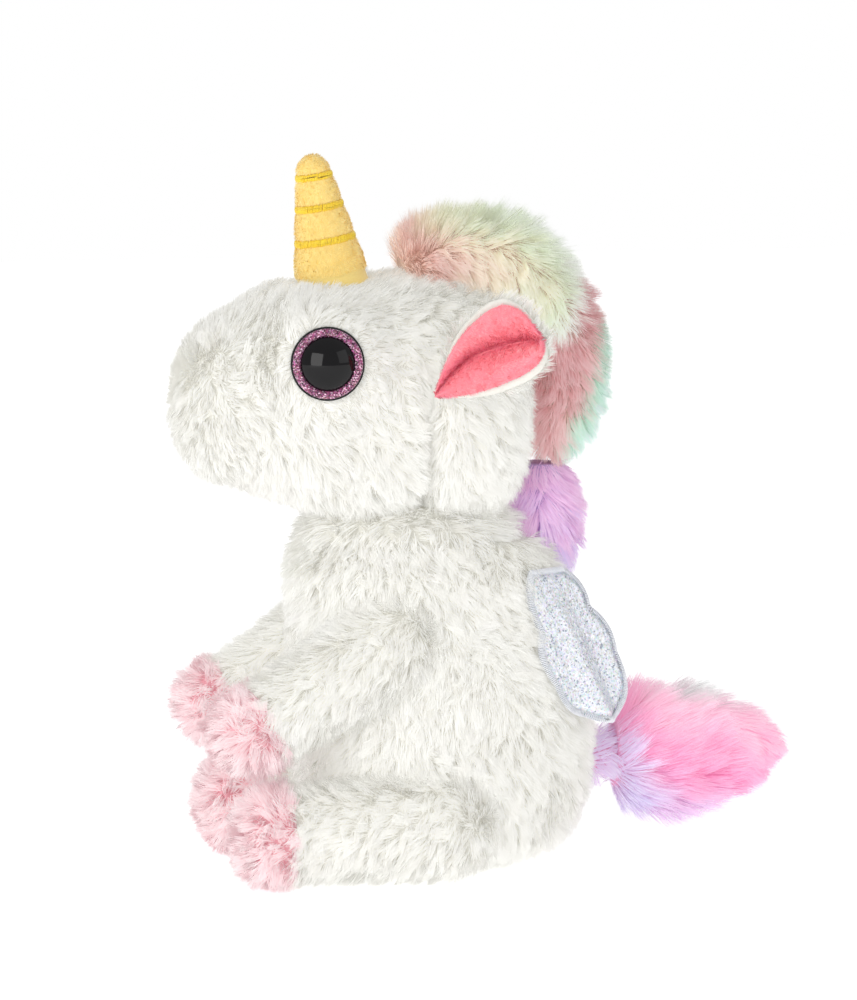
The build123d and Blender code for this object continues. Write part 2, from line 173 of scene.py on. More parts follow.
def closing(n):
    """Shares from 0 to 1 that crowd towards both ends, where a skin closes."""
    return 0.5 - 0.5 * np.cos(np.linspace(0.02, math.pi - 0.02, n))


def sections(centres, across, upward, half_across, half_up, squareness=2.0, around=72):
    """Rounded sections about a line of centres; squareness 2 is an ellipse."""
    turn = np.linspace(0, 2 * math.pi, around, endpoint=False)
    c, s = np.cos(turn), np.sin(turn)
    power = 2 / squareness
    a = np.sign(c) * np.abs(c) ** power
    b = np.sign(s) * np.abs(s) ** power
    return Skin(
        centres[:, None]
        + a[None, :, None] * (half_across[:, None] * across)[:, None]
        + b[None, :, None] * (half_up[:, None] * upward)[:, None]
    )


def stacked_skin(lo, hi, axis, form, inset, squareness=2.0, rows=90, around=96):
    """A skin inside a box, along one of its axes.

    form rows are (share along, shift across, shift up, half across, half up), all but the first as
    shares of the box's half sizes. The half sizes are carried as squares, so that ends are round.
    """
    lo, hi = lo + inset, hi - inset
    middle, half = (lo + hi) / 2, (hi - lo) / 2
    side, up = [k for k in range(3) if k != axis]
    share = closing(rows)
    table = np.array(form, float)
    table[:, 3:] **= 2
    values = curve(table, share)
    size = np.sqrt(np.maximum(values[:, 2:], 1e-5))
    centres = np.tile(middle, (rows, 1))
    centres[:, axis] = lo[axis] + share * (hi - lo)[axis]
    centres[:, side] += values[:, 0] * half[side]
    centres[:, up] += values[:, 1] * half[up]
    return sections(
        centres,
        np.tile(np.eye(3)[side], (rows, 1)),
        np.tile(np.eye(3)[up], (rows, 1)),
        size[:, 0] * half[side],
        size[:, 1] * half[up],
        squareness,
        around,
    )


def limb_skin(start, end, form, rows=60, around=64):
    """A limb from start to end; form rows are (share along, sink, half across, half up) in mm."""
    along = unit(end - start)
    across = unit(np.cross(UP, along))
    upward = np.cross(along, across)
    share = closing(rows)
    table = np.array(form, float)
    table[:, 2:] **= 2
    values = curve(table, share)
    size = np.sqrt(np.maximum(values[:, 1:], 0.01))
    centres = start + share[:, None] * (end - start) - values[:, :1] * UP
    across, upward = (np.tile(direction, (rows, 1)) for direction in (across, upward))
    return sections(centres, across, upward, size[:, 0], size[:, 1], 2.1, around)


def depth_in(skin, points):
    """How far points lie outside a skin; negative inside it."""
    flat = skin.rings.reshape(-1, 3)
    home = nearest(points, flat)
    return np.sum((points - flat[home]) * skin.normals.reshape(-1, 3)[home], axis=1)


def nearest(points, seeds):
    """For each point, the number of the nearest seed."""
    tree = kdtree.KDTree(len(seeds))
    for n, seed in enumerate(seeds):
        tree.insert(seed, n)
    tree.balance()
    return np.array([tree.find(p)[1] for p in points], int)


def wander(points, scale, seed):
    """A smooth field of vectors that strays with place, for the swirls in a coat."""
    rand = np.random.default_rng(seed)
    waves = rand.normal(0, 1 / scale, (3, 9))
    phases = rand.uniform(0, 2 * math.pi, 9)
    return np.sin(points @ waves + phases) @ rand.normal(0, 0.33, (9, 3))


# ---------------------------------------------------------------- meshes

def make_mesh(name, points, loops, sizes, material, uv=None, normals=None):
    """A mesh object from flat arrays, with points in millimetres."""
    mesh = bpy.data.meshes.new(name)
    mesh.vertices.add(len(points))
    mesh.vertices.foreach_set("co", (points * MM).astype(np.float32).ravel())
    mesh.loops.add(len(loops))
    mesh.loops.foreach_set("vertex_index", loops.astype(np.int32))
    mesh.polygons.add(len(sizes))
    starts = np.concatenate([[0], np.cumsum(sizes)[:-1]])
    mesh.polygons.foreach_set("loop_start", starts.astype(np.int32))
    mesh.polygons.foreach_set("loop_total", sizes.astype(np.int32))
    mesh.polygons.foreach_set("use_smooth", np.ones(len(sizes), bool))
    if uv is not None:
        layer = mesh.uv_layers.new(name="OFBake")
        layer.data.foreach_set("uv", uv.astype(np.float32).ravel())
    mesh.update(calc_edges=True)
    if normals is not None:
        mesh.normals_split_custom_set_from_vertices(normals.tolist())
    obj = bpy.data.objects.new(name, mesh)
    bpy.context.scene.collection.objects.link(obj)
    obj.data.materials.append(material)
    return obj


def skin_object(name, skin, material):
    """The closed cloth skin under a coat of fur."""
    rows, around = skin.rings.shape[:2]
    points = skin.rings.reshape(-1, 3)
    quads = skin.faces()
    start_cap = np.arange(around)
    end_cap = (rows - 1) * around + np.arange(around)
    start_cap, end_cap = (start_cap, end_cap[::-1]) if skin.flipped else (start_cap[::-1], end_cap)
    loops = np.concatenate([quads.ravel(), start_cap, end_cap])
    sizes = np.concatenate([np.full(len(quads), 4), [around, around]])
    return make_mesh(name, points, loops, sizes, material)


def placed(obj, body, nodes=()):
    """Rides a piece on its body and hides the CAD nodes that it stands for."""
    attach(obj, body)
    if nodes:
        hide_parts(*nodes)
    return obj


# ---------------------------------------------------------------- fur

STRANDS_PER_PIECE = 38000


class Coat:
    """How one kind of pile grows. Lengths are millimetres and angles are degrees."""

    def __init__(self, material, slot, length, width, lift, density, **extra):
        self.material, self.slot = material, slot
        self.length, self.width, self.lift, self.density = length, width, lift, density
        self.tuft = extra.get("tuft", 4.0)              # spacing of the tufts
        self.gather = extra.get("gather", 0.55)         # how far a tuft draws its tips together
        self.stray = extra.get("stray", 0.30)           # how far tufts lean from the combed way
        self.sag = extra.get("sag", 0.12)               # droop of the tips
        self.segments = extra.get("segments", 3)
        self.swirl = extra.get("swirl", 0.45)           # how far the comb strays with place
        self.swirl_size = extra.get("swirl_size", 11.0)


def strands(coat, roots, normals, comb, length, seed):
    """Points along each strand, (strands, segments + 1, 3), and a tone for each from 0 to 1."""
    rand = np.random.default_rng(seed)
    count = len(roots)
    area_each = 1 / coat.density
    tufts = max(1, int(count * area_each / coat.tuft**2))
    chosen = rand.choice(count, tufts, replace=False)
    home = nearest(roots, roots[chosen])
    flow = unit(comb - normals * np.sum(comb * normals, axis=1, keepdims=True))
    side = np.cross(normals, flow)
    sway = rand.normal(0, coat.stray, tufts)[home] + rand.normal(0, 0.4 * coat.stray, count)
    flow = unit(flow * np.cos(sway)[:, None] + side * np.sin(sway)[:, None])
    rise = np.radians(coat.lift + rand.normal(0, 7, tufts)[home] + rand.normal(0, 7, count))
    reach = length * (1 + rand.normal(0, 0.10, tufts)[home] + rand.normal(0, 0.08, count))
    steps = np.linspace(0, 1, coat.segments + 1)[None, :, None]
    lean = (0.72 + 0.28 * steps) * (np.pi / 2 - rise)[:, None, None]
    outward = normals[:, None] * np.cos(lean) + flow[:, None] * np.sin(lean)
    paths = np.zeros((count, coat.segments + 1, 3))
    step = (reach / coat.segments)[:, None]
    for k in range(1, coat.segments + 1):
        droop = -UP * coat.sag * k / coat.segments
        paths[:, k] = paths[:, k - 1] + unit(outward[:, k] + droop) * step
    tips = roots[chosen] + (paths[chosen, -1])
    pull = coat.gather * (0.6 + 0.4 * rand.random(count))
    toward = tips[home] - (roots + paths[:, -1])
    paths = paths + toward[:, None] * (pull[:, None, None] * steps**1.6)
    tone = np.clip(0.5 + rand.normal(0, 0.17, tufts)[home] + rand.normal(0, 0.12, count), 0.02, 0.98)
    return roots[:, None] + paths, tone


def ribbons(name, coat, paths, normals, tone, body):
    """Makes tapering ribbons of the strands, in pieces of a size that a viewer can open."""
    made = []
    count, levels = paths.shape[:2]
    rand = np.random.default_rng(len(name) * 977 + count)
    taper = np.linspace(0, 1, levels)
    half_width = 0.5 * coat.width * (1 - 0.75 * taper**1.5)
    along = unit(np.gradient(paths, axis=1))
    flat = unit(np.cross(along, normals[:, None]))
    rise = np.cross(flat, along)
    roll = rand.uniform(-0.9, 0.9, count)[:, None, None]
    blade = flat * np.cos(roll) + rise * np.sin(roll)
    left = (paths - blade * half_width[None, :, None])[:, :-1]
    right = (paths + blade * half_width[None, :, None])[:, :-1]
    soft = unit(normals[:, None] * 0.8 + np.cross(blade, along) * 0.2)
    rings = levels - 1
    for start in range(0, count, STRANDS_PER_PIECE):
        part = slice(start, min(start + STRANDS_PER_PIECE, count))
        n = part.stop - part.start
        edges = np.stack([left[part], right[part]], axis=2).reshape(n, -1, 3)
        points = np.concatenate([edges, paths[part, -1:]], axis=1)
        point_normals = np.concatenate([np.repeat(soft[part, :-1], 2, axis=1), soft[part, -1:]], axis=1)
        per = 2 * rings + 1
        pattern, uv_pattern = [], []
        for k in range(rings - 1):
            pattern += [2 * k, 2 * k + 1, 2 * k + 3, 2 * k + 2]
            uv_pattern += [(-1, k), (1, k), (1, k + 1), (-1, k + 1)]
        pattern += [2 * rings - 2, 2 * rings - 1, 2 * rings]
        uv_pattern += [(-1, rings - 1), (1, rings - 1), (0, rings)]
        loops = (np.array(pattern)[None] + per * np.arange(n)[:, None]).ravel()
        sizes = np.tile([4] * (rings - 1) + [3], n)
        edge, level = np.array(uv_pattern, float).T
        u = tone[part][:, None] + 0.006 * edge[None]
        v = np.broadcast_to(0.01 + 0.98 * level / rings, u.shape)
        uv = np.stack([np.clip(u, 0, 1), v], axis=-1)
        uv[0, 0], uv[-1, 0] = (0.0, v[0, 0]), (1.0, v[0, 0])
        piece = make_mesh(
            f"{name}_{len(made) + 1}", points.reshape(-1, 3), loops, sizes, coat.material,
            uv.reshape(-1, 2), point_normals.reshape(-1, 3),
        )
        made.append(placed(piece, body))
    return made


def furry(name, skin, coat, backing, body, nodes, comb, seed, keep=None, trim=None, hue=None):
    """A stuffed skin with its coat: the skin stands for the CAD nodes, and the coat rides with it.

    comb is a direction or a function of the roots; keep says which roots grow, trim how long they
    grow as a share, and hue turns a strand's tone into its place on the material's ramp.
    """
    placed(skin_object(f"{name}_skin", skin, backing), body, nodes)
    roots, normals, share = skin.roots(coat.density * THICKNESS, seed)
    if keep is not None:
        kept = keep(roots)
        roots, normals, share = roots[kept], normals[kept], share[kept]
    flow = comb(roots) if callable(comb) else np.tile(np.array(comb, float), (len(roots), 1))
    flow = unit(flow) + coat.swirl * wander(roots, coat.swirl_size, seed)
    length = coat.length * (1 if trim is None else trim(roots)) * np.ones(len(roots))
    paths, tone = strands(coat, roots, normals, flow, length, seed + 1)
    if hue is not None:
        tone = np.clip(hue(roots, share, tone), 0.02, 0.98)
    lying = LOWEST_STRAND + 0.8 * np.abs(tone - 0.5)
    paths[..., 2] = np.maximum(paths[..., 2], lying[:, None])
    return ribbons(f"{name}_fur", coat, paths, normals, tone, body)


# ---------------------------------------------------------------- node graphs

def srgb(text):
    """A linear colour from its six hex digits."""
    parts = [int(text[k:k + 2], 16) / 255 for k in (0, 2, 4)]
    return [c / 12.92 if c <= 0.04045 else ((c + 0.055) / 1.055) ** 2.4 for c in parts] + [1.0]


class Graph:
    """Adds nodes to one tree and joins them."""

    def __init__(self, tree):
        self.tree = tree

    def add(self, kind, inputs=None, **settings):
        """A node with its settings; each input is a value or another node's output."""
        node = self.tree.nodes.new(kind)
        for key, value in settings.items():
            setattr(node, key, value)
        for key, value in (inputs or {}).items():
            if isinstance(value, bpy.types.NodeSocket):
                self.tree.links.new(value, node.inputs[key])
            else:
                node.inputs[key].default_value = value
        return node

    def ramp(self, factor, stops):
        """A colour ramp through (place, colour) stops."""
        node = self.add("ShaderNodeValToRGB", {"Fac": factor})
        points = node.color_ramp.elements
        while len(points) < len(stops):
            points.new(0.5)
        for point, (place, colour) in zip(points, stops):
            point.position, point.color = place, srgb(colour)
        return node.outputs["Color"]

    def blend(self, factor, a, b, how="MIX"):
        """Two colours mixed by a factor."""
        node = self.add("ShaderNodeMix", data_type="RGBA", blend_type=how)
        for socket, value in zip((node.inputs[0], node.inputs[6], node.inputs[7]), (factor, a, b)):
            if isinstance(value, bpy.types.NodeSocket):
                self.tree.links.new(value, socket)
            else:
                socket.default_value = value
        return node.outputs[2]

    def maths(self, how, a, b=0.5):
        """One sum of two values."""
        return self.add("ShaderNodeMath", {0: a, 1: b}, operation=how).outputs[0]

    def vectors(self, how, inputs):
        """One sum of vectors."""
        return self.add("ShaderNodeVectorMath", inputs, operation=how).outputs[0]


def group(name, inputs, outputs, build):
    """A shader group; build gets the graph and the inputs, and returns the outputs in order."""
    tree = bpy.data.node_groups.new(name, "ShaderNodeTree")
    for label, kind, value in inputs:
        socket = tree.interface.new_socket(label, in_out="INPUT", socket_type=kind)
        socket.default_value = value
    for label, kind in outputs:
        tree.interface.new_socket(label, in_out="OUTPUT", socket_type=kind)
    graph = Graph(tree)
    given = graph.add("NodeGroupInput").outputs
    results = build(graph, given)
    last = graph.add("NodeGroupOutput")
    for (label, _), result in zip(outputs, results):
        tree.links.new(result, last.inputs[label])
    return tree


FLOAT, COLOUR, VECTOR = "NodeSocketFloat", "NodeSocketColor", "NodeSocketVector"


def build_strand_place(g, given):
    """A strand's own tone and the way up it, which its map holds."""
    uv = g.add("ShaderNodeUVMap", uv_map="OFBake").outputs["UV"]
    split = g.add("ShaderNodeSeparateXYZ", {"Vector": uv})
    return split.outputs["X"], split.outputs["Y"]


def build_pile_shade(g, given):
    """Painted shade makes strands deeper towards the root shade colour, and painted light makes them paler
    at the tip.
    """
    rooty = g.maths("POWER", g.maths("SUBTRACT", 1.0, given["Along"]), 1.6)
    dark = g.blend(g.maths("MULTIPLY", rooty, given["Root Shade"]), given["Colour"], given["Root Shade Colour"])
    tip = g.maths("MULTIPLY", g.maths("POWER", given["Along"], 2.5), given["Tip Light"])
    return (g.blend(tip, dark, (1.0, 1.0, 1.0, 1.0)),)


def build_nap(g, given):
    """Short brushed cloth: fine specks, soft smudges where the pile is pressed, and their height."""
    place = g.add("ShaderNodeTexCoord").outputs["Object"]
    fine = g.add("ShaderNodeTexNoise", {"Vector": place, "Scale": given["Scale"], "Detail": 4.0})
    smudge = g.add("ShaderNodeTexNoise", {"Vector": place, "Scale": given["Smudge Scale"], "Detail": 2.0})
    spots = g.maths("MULTIPLY", g.maths("SUBTRACT", fine.outputs["Fac"], 0.35), given["Contrast"])
    pressed = g.maths("MULTIPLY", g.maths("SUBTRACT", smudge.outputs["Fac"], 0.4), given["Contrast"])
    share = g.add("ShaderNodeClamp", {"Value": g.maths("ADD", spots, pressed)}).outputs[0]
    return g.blend(share, given["Colour"], given["Deep Colour"]), fine.outputs["Fac"]


def build_glitter(g, given):
    """Flakes of many sizes: each has its own tint and leans its own way; a share are darker, and a share are
    painted in the glint colour as painted glints.
    """
    place = g.add("ShaderNodeTexCoord").outputs["Object"]
    flakes = g.add("ShaderNodeTexVoronoi", {"Vector": place, "Scale": given["Scale"]})
    cell = g.add("ShaderNodeSeparateColor", {"Color": flakes.outputs["Color"]})
    tint = g.add("ShaderNodeCombineColor", {0: cell.outputs[0], 1: 0.75, 2: 1.0}, mode="HSV").outputs[0]
    dull = g.maths("LESS_THAN", cell.outputs[1], given["Dark Share"])
    # painted glints: flakes past this share take the glint colour
    glint = g.maths("GREATER_THAN", cell.outputs[1], g.maths("SUBTRACT", 1.0, given["Glint Share"]))
    coloured = g.maths("MULTIPLY", g.maths("GREATER_THAN", cell.outputs[2], 0.45), given["Tint"])
    colour = g.blend(coloured, given["Colour"], tint)
    colour = g.blend(dull, colour, given["Dark Colour"])
    colour = g.blend(glint, colour, given["Glint Colour"])
    lean = g.vectors("SUBTRACT", {0: flakes.outputs["Color"], 1: (0.5, 0.5, 0.5)})
    lean = g.vectors("SCALE", {0: lean, "Scale": given["Lean"]})
    normal = g.add("ShaderNodeNewGeometry").outputs["Normal"]
    tilted = g.vectors("ADD", {0: normal, 1: lean})
    return colour, g.vectors("NORMALIZE", {0: tilted})


GREY = (0.5, 0.5, 0.5, 1.0)
STRAND_PLACE = group("Strand Place", [], [("Tone", FLOAT), ("Along", FLOAT)], build_strand_place)
PILE_SHADE = group(
    "Pile Shade",
    [("Colour", COLOUR, GREY), ("Root Shade Colour", COLOUR, GREY), ("Along", FLOAT, 0.5),
     ("Root Shade", FLOAT, 0.5), ("Tip Light", FLOAT, 0.1)],
    [("Colour", COLOUR)],
    build_pile_shade,
)
NAP = group(
    "Nap",
    [("Colour", COLOUR, GREY), ("Deep Colour", COLOUR, GREY), ("Scale", FLOAT, 900.0),
     ("Smudge Scale", FLOAT, 90.0), ("Contrast", FLOAT, 1.0)],
    [("Colour", COLOUR), ("Height", FLOAT)],
    build_nap,
)
GLITTER = group(
    "Glitter",
    [("Colour", COLOUR, GREY), ("Dark Colour", COLOUR, GREY), ("Glint Colour", COLOUR, GREY),
     ("Scale", FLOAT, 1500.0), ("Dark Share", FLOAT, 0.1), ("Glint Share", FLOAT, 0.1),
     ("Tint", FLOAT, 0.2), ("Lean", FLOAT, 0.6)],
    [("Colour", COLOUR), ("Normal", VECTOR)],
    build_glitter,
)


def new_material(name, **shader):
    """A material and its graph; the shader's plain values are set on its own sockets."""
    made = bpy.data.materials.new(name)
    made.use_nodes = True
    made.node_tree.nodes.clear()
    g = Graph(made.node_tree)
    surface = g.add("ShaderNodeBsdfPrincipled", {key.replace("_", " "): v for key, v in shader.items()})
    out = g.add("ShaderNodeOutputMaterial")
    made.node_tree.links.new(surface.outputs[0], out.inputs["Surface"])
    return made, g, surface


PILE_GLOW = 0.20            # light that many bounces bring back out of a deep pale pile


def pile_material(name, stops, root_shade_colour, root_shade=0.5, tip_light=0.1, sheen=0.25):
    """Fur or velour strands; the stops run over the strand's tone, the roots take painted shade, the tips
    painted light, and the whole pile glows a little as painted bounce light.
    """
    made, g, surface = new_material(
        name, Roughness=0.85, Sheen_Weight=sheen, Sheen_Roughness=0.6, Emission_Strength=PILE_GLOW,
    )
    place = g.add("ShaderNodeGroup", node_tree=STRAND_PLACE).outputs
    shade = g.add("ShaderNodeGroup", node_tree=PILE_SHADE)
    g.tree.links.new(g.ramp(place["Tone"], stops), shade.inputs["Colour"])
    g.tree.links.new(place["Along"], shade.inputs["Along"])
    shade.inputs["Root Shade Colour"].default_value = srgb(root_shade_colour)
    shade.inputs["Root Shade"].default_value = root_shade
    shade.inputs["Tip Light"].default_value = tip_light
    g.tree.links.new(shade.outputs["Colour"], surface.inputs["Base Color"])
    g.tree.links.new(shade.outputs["Colour"], surface.inputs["Emission Color"])
    return made


def cloth_material(name, colour, deep, scale=900.0, smudge=90.0, contrast=1.0, bump=0.0003, **shader):
    """Brushed or woven cloth, felt and fill, with fine height."""
    made, g, surface = new_material(name, **{"Roughness": 0.9, **shader})
    nap = g.add("ShaderNodeGroup", node_tree=NAP)
    values = {"Scale": scale, "Smudge Scale": smudge, "Contrast": contrast}
    for key, value in {"Colour": srgb(colour), "Deep Colour": srgb(deep), **values}.items():
        nap.inputs[key].default_value = value
    g.tree.links.new(nap.outputs["Colour"], surface.inputs["Base Color"])
    relief = g.add("ShaderNodeBump", {"Height": nap.outputs["Height"], "Distance": bump, "Strength": 0.8})
    g.tree.links.new(relief.outputs[0], surface.inputs["Normal"])
    return made


def glitter_material(name, colour, dark, glint, values, **shader):
    """Cloth or resin full of flakes; values are the group's plain numbers."""
    made, g, surface = new_material(name, **shader)
    flakes = g.add("ShaderNodeGroup", node_tree=GLITTER)
    colours = {"Colour": srgb(colour), "Dark Colour": srgb(dark), "Glint Colour": srgb(glint)}
    for key, value in {**colours, **values}.items():
        flakes.inputs[key].default_value = value
    g.tree.links.new(flakes.outputs["Colour"], surface.inputs["Base Color"])
    g.tree.links.new(flakes.outputs["Normal"], surface.inputs["Normal"])
    return made


# ---------------------------------------------------------------- finishes

# After its stops, each pile gives its painted root shade colour, how far that painted shade reaches, and the
# painted light on its tips.
WHITE_STOPS = [(0.0, "EBEAE4"), (0.35, "F0EFEB"), (0.7, "F3F3EF"), (1.0, "F7F6F4")]
white_pile = pile_material("white_fur", WHITE_STOPS, "E2E0D6", 0.20, 0.12)
# Each backing cloth under a pile is coloured a little deeper than its pile, as painted shade seen between
# the strands.
white_backing = cloth_material("white_backing", "ECEBE4", "E0DED5", contrast=1.2)
HOOF_STOPS = [(0.0, "F5D3D8"), (0.3, "F8E0E3"), (0.7, "FBEBED"), (1.0, "FDF3F4")]
hoof_pile = pile_material("pink_hoof_fur", HOOF_STOPS, "F0B9C2", 0.42, 0.15)
hoof_backing = cloth_material("pink_hoof_backing", "F2BFC7", "E79AA7", contrast=1.4)
MANE_STOPS = [
    (0.00, "FFE9DA"), (0.12, "FADCCE"), (0.22, "F0CBC2"), (0.36, "F8F1DA"), (0.48, "E8F3DA"),
    (0.60, "F5FAF5"), (0.70, "DE9EA2"), (0.82, "EBC0C0"), (0.92, "C4F0DC"), (1.00, "F0F2FC"),
]
mane_pile = pile_material("rainbow_fur", MANE_STOPS, "E0BAB0", 0.26, 0.4)
mane_backing = cloth_material("mane_backing", "E2C8B8", "C8A49C", contrast=1.6)
LOCK_STOPS = [(0.0, "D4D6F4"), (0.35, "E4C4EA"), (0.6, "ECC0E2"), (0.8, "F0CDEA"), (1.0, "E4E6FA")]
lock_pile = pile_material("lilac_fur", LOCK_STOPS, "CFA8D8", 0.32, 0.25)
lock_backing = cloth_material("lilac_backing", "D6B8E6", "B896D2", contrast=1.4)
TAIL_STOPS = [
    (0.0, "DADAF3"), (0.2, "E8CEEC"), (0.38, "F6A2CE"), (0.6, "FAC0DC"), (0.82, "FCD2E4"),
    (1.0, "D6F1E6"),
]
tail_pile = pile_material("tail_fur", TAIL_STOPS, "F2A8CE", 0.3, 0.25)
tail_backing = cloth_material("tail_backing", "F6B4D8", "E490C0", contrast=1.4)
HORN_STOPS = [(0.0, "F3D06A"), (0.5, "FAE08A"), (1.0, "FDEBA6")]
horn_nap = pile_material("horn_velour_nap", HORN_STOPS, "E8BE50", 0.4, 0.15, 0.4)
horn_cloth = cloth_material("horn_velour", "F9E08E", "F1CB66", 1800.0, 90.0, 0.6, 0.00015, Sheen_Weight=0.4)
# The ear's pink runs from painted shade deep in the crease to the pale lips.
EAR_STOPS = [(0.0, "C41C4C"), (0.3, "F2708C"), (0.6, "FF9AA4"), (1.0, "FFB8BC")]
ear_nap = pile_material("ear_velour_nap", EAR_STOPS, "E0607C", 0.35, 0.15, 0.4)
ear_cloth = cloth_material("ear_velour", "FF97A2", "F0748C", 1800.0, 110.0, 0.7, 0.00015, Sheen_Weight=0.4)
gold_thread = cloth_material(
    "gold_thread", "FFE03A", "F2C200", 2600.0, 300.0, 1.2, 0.0001, Roughness=0.38, Sheen_Weight=0.3,
)
silver_thread = cloth_material(
    "silver_thread", "F4F6FA", "D4D9E4", 2600.0, 300.0, 1.0, 0.0001, Roughness=0.42, Metallic=0.1,
)
# The third colour of each glitter finish is its painted glint colour.
wing_glitter = glitter_material(
    "glitter_cloth", "E9EDF6", "A9B0C0", "FFFFFF",
    {"Scale": 1900.0, "Dark Share": 0.08, "Glint Share": 0.22, "Tint": 0.18, "Lean": 0.8},
    Roughness=0.36, Metallic=0.4,
)
eye_glitter = glitter_material(
    "glitter_resin", "9E4D78", "4A2038", "FFD2EC",
    {"Scale": 2600.0, "Dark Share": 0.30, "Glint Share": 0.18, "Tint": 0.12, "Lean": 1.1},
    Roughness=0.28, Metallic=0.6, Coat_Weight=0.6, Coat_Roughness=0.08,
)
black_plastic = cloth_material(
    "black_plastic", "111013", "1B191C", 1500.0, 200.0, 0.8, 0.00002, Roughness=0.25,
)
pupil_gloss = cloth_material(
    "pupil_gloss", "040305", "09070A", 700.0, 60.0, 0.8, 0.000002, Roughness=0.06,
    Specular_IOR_Level=0.32,
)
washer_plastic = cloth_material(
    "washer_plastic", "E9E7DF", "D6D2C4", 1200.0, 150.0, 0.9, 0.00003, Roughness=0.4,
)
lining_cloth = cloth_material("lining_cloth", "EFECE2", "CFCABB", 1600.0, 110.0, 1.3, 0.0002)
# pellets: a share painted white as painted glints
pellet_fill = glitter_material(
    "pellets", "EDEBE4", "CFCBBE", "FFFFFF",
    {"Scale": 420.0, "Dark Share": 0.25, "Glint Share": 0.25, "Tint": 0.0, "Lean": 0.8}, Roughness=0.45,
)

THICKNESS = 1.0      # share of the full coat
LOWEST_STRAND = 0.35                        # millimetres above what the toy rests on

white_coat = Coat(white_pile, "white_fur", 6.6, 0.25, 38, 4.3, tuft=2.6, gather=0.30, stray=0.5)
ear_coat = Coat(white_pile, "white_fur", 5.4, 0.25, 40, 4.6, tuft=2.5, gather=0.30, stray=0.4)
neck_coat = Coat(white_pile, "white_fur", 7.0, 0.30, 45, 2.4, tuft=3.2, gather=0.4, stray=0.5)
hoof_coat = Coat(
    hoof_pile, "pink_fur", 6.4, 0.28, 55, 5.0, tuft=2.4, gather=0.38, stray=1.2, swirl=1.3, swirl_size=6.0,
)
mane_coat = Coat(mane_pile, "rainbow_fur", 9.5, 0.26, 52, 4.8, tuft=3.0, gather=0.25, stray=0.35, sag=0.05)
lock_coat = Coat(lock_pile, "lilac_fur", 10.0, 0.27, 40, 4.6, tuft=4.0, gather=0.35, stray=0.3)
tail_coat = Coat(tail_pile, "tail_fur", 14.5, 0.28, 20, 4.2, tuft=5.0, gather=0.3, stray=0.22, sag=0.02)
horn_coat = Coat(horn_nap, "horn_velour", 0.9, 0.16, 48, 7.0, tuft=1.6, gather=0.3, stray=0.6, segments=2)
ear_nap_coat = Coat(ear_nap, "ear_velour", 1.1, 0.16, 42, 8.0, tuft=1.8, gather=0.3, stray=0.5, segments=2)


# ---------------------------------------------------------------- torso, neck and legs

def side_point(point, side):
    """A point on the toy's left, or its mirror on the right."""
    return np.array(point, float) * (side, 1, 1)


FUR_INSET = 5.5
torso_lo, torso_hi = box("body_cover")
TORSO_RISE = 10.0           # the stuffed shoulders stand up round the neck
torso = stacked_skin(
    torso_lo, torso_hi + (0, 0, TORSO_RISE), 2,
    [
        (0.00, 0, 0.00, 0.52, 0.48),
        (0.05, 0, 0.00, 0.82, 0.79),
        (0.16, 0, 0.00, 0.96, 0.94),
        (0.38, 0, 0.00, 1.01, 1.00),
        (0.62, 0, -0.05, 0.99, 0.99),
        (0.80, 0, -0.11, 0.92, 0.95),
        (0.92, 0, -0.16, 0.87, 0.91),
        (1.00, 0, -0.18, 0.78, 0.82),
    ],
    FUR_INSET, 2.1,
)
HEAD_FORM = [
    (0.000, 0, -0.02, 0.04, 0.04),
    (0.012, 0, -0.02, 0.30, 0.29),
    (0.055, 0, -0.02, 0.54, 0.53),
    (0.167, 0, 0.04, 0.72, 0.71),
    (0.320, 0, 0.06, 0.87, 0.87),
    (0.450, 0, 0.02, 0.95, 0.96),
    (0.600, 0, 0.00, 1.00, 1.00),
    (0.800, 0, -0.03, 0.99, 0.99),
    (0.930, 0, -0.05, 0.82, 0.86),
    (0.985, 0, -0.06, 0.50, 0.55),
    (1.000, 0, -0.06, 0.08, 0.08),
]
head = stacked_skin(*box("face_cover", "back_head_cover"), 1, HEAD_FORM, FUR_INSET, 2.35)


def limb_parts(kind, side_name, side, radius, form, hoof_length):
    """The leg's skin and the hoof's skin, cut from one limb."""
    nodes = [f"{kind}_leg_cover_{side_name}", f"{kind}_hoof_{side_name}"]
    hoof_lo, hoof_hi = box(nodes[1])
    joint = "lift" if kind == "front" else "splay"
    hip = pivot(f"{kind}_leg_{side_name}_{joint}")
    outer = hoof_hi[0] if side > 0 else hoof_lo[0]
    foot = np.array((outer - side * radius, hoof_lo[1] + radius, hoof_lo[2] + radius))
    along = unit(foot - hip)
    start, end = hip - along * (radius - 2), foot + along * (radius - FUR_INSET + 1)
    whole = limb_skin(start, end, form)
    reach = np.linalg.norm(end - start)
    middles = whole.rings.mean(axis=1)
    gone = (middles - start) @ along
    cut = int(np.argmax(gone > reach - hoof_length))
    return whole.part(0, cut + 1), whole.part(cut, len(middles)), along


def legs(kind, hoof_radius, form, hoof_length, seed):
    """Both legs of a pair, each with its hoof."""
    for number, (side_name, side) in enumerate(SIDES):
        leg, hoof, along = limb_parts(kind, side_name, side, hoof_radius, form, hoof_length)
        body = f"{kind}_leg_{side_name}"
        down = along + np.array((0.15 * side, 0, -0.45))
        furry(
            body, leg, white_coat, white_backing, body,
            [f"{kind}_leg_cover_{side_name}", f"{kind}_leg_stuffing_{side_name}"],
            down, seed + 10 * number,
            keep=lambda roots: (depth_in(torso, roots) > -4) & (side * roots[:, 0] > 4),
        )
        furry(
            f"{kind}_hoof_{side_name}", hoof, hoof_coat, hoof_backing, body,
            [f"{kind}_hoof_{side_name}"], along * 0.4, seed + 5 + 10 * number,
        )


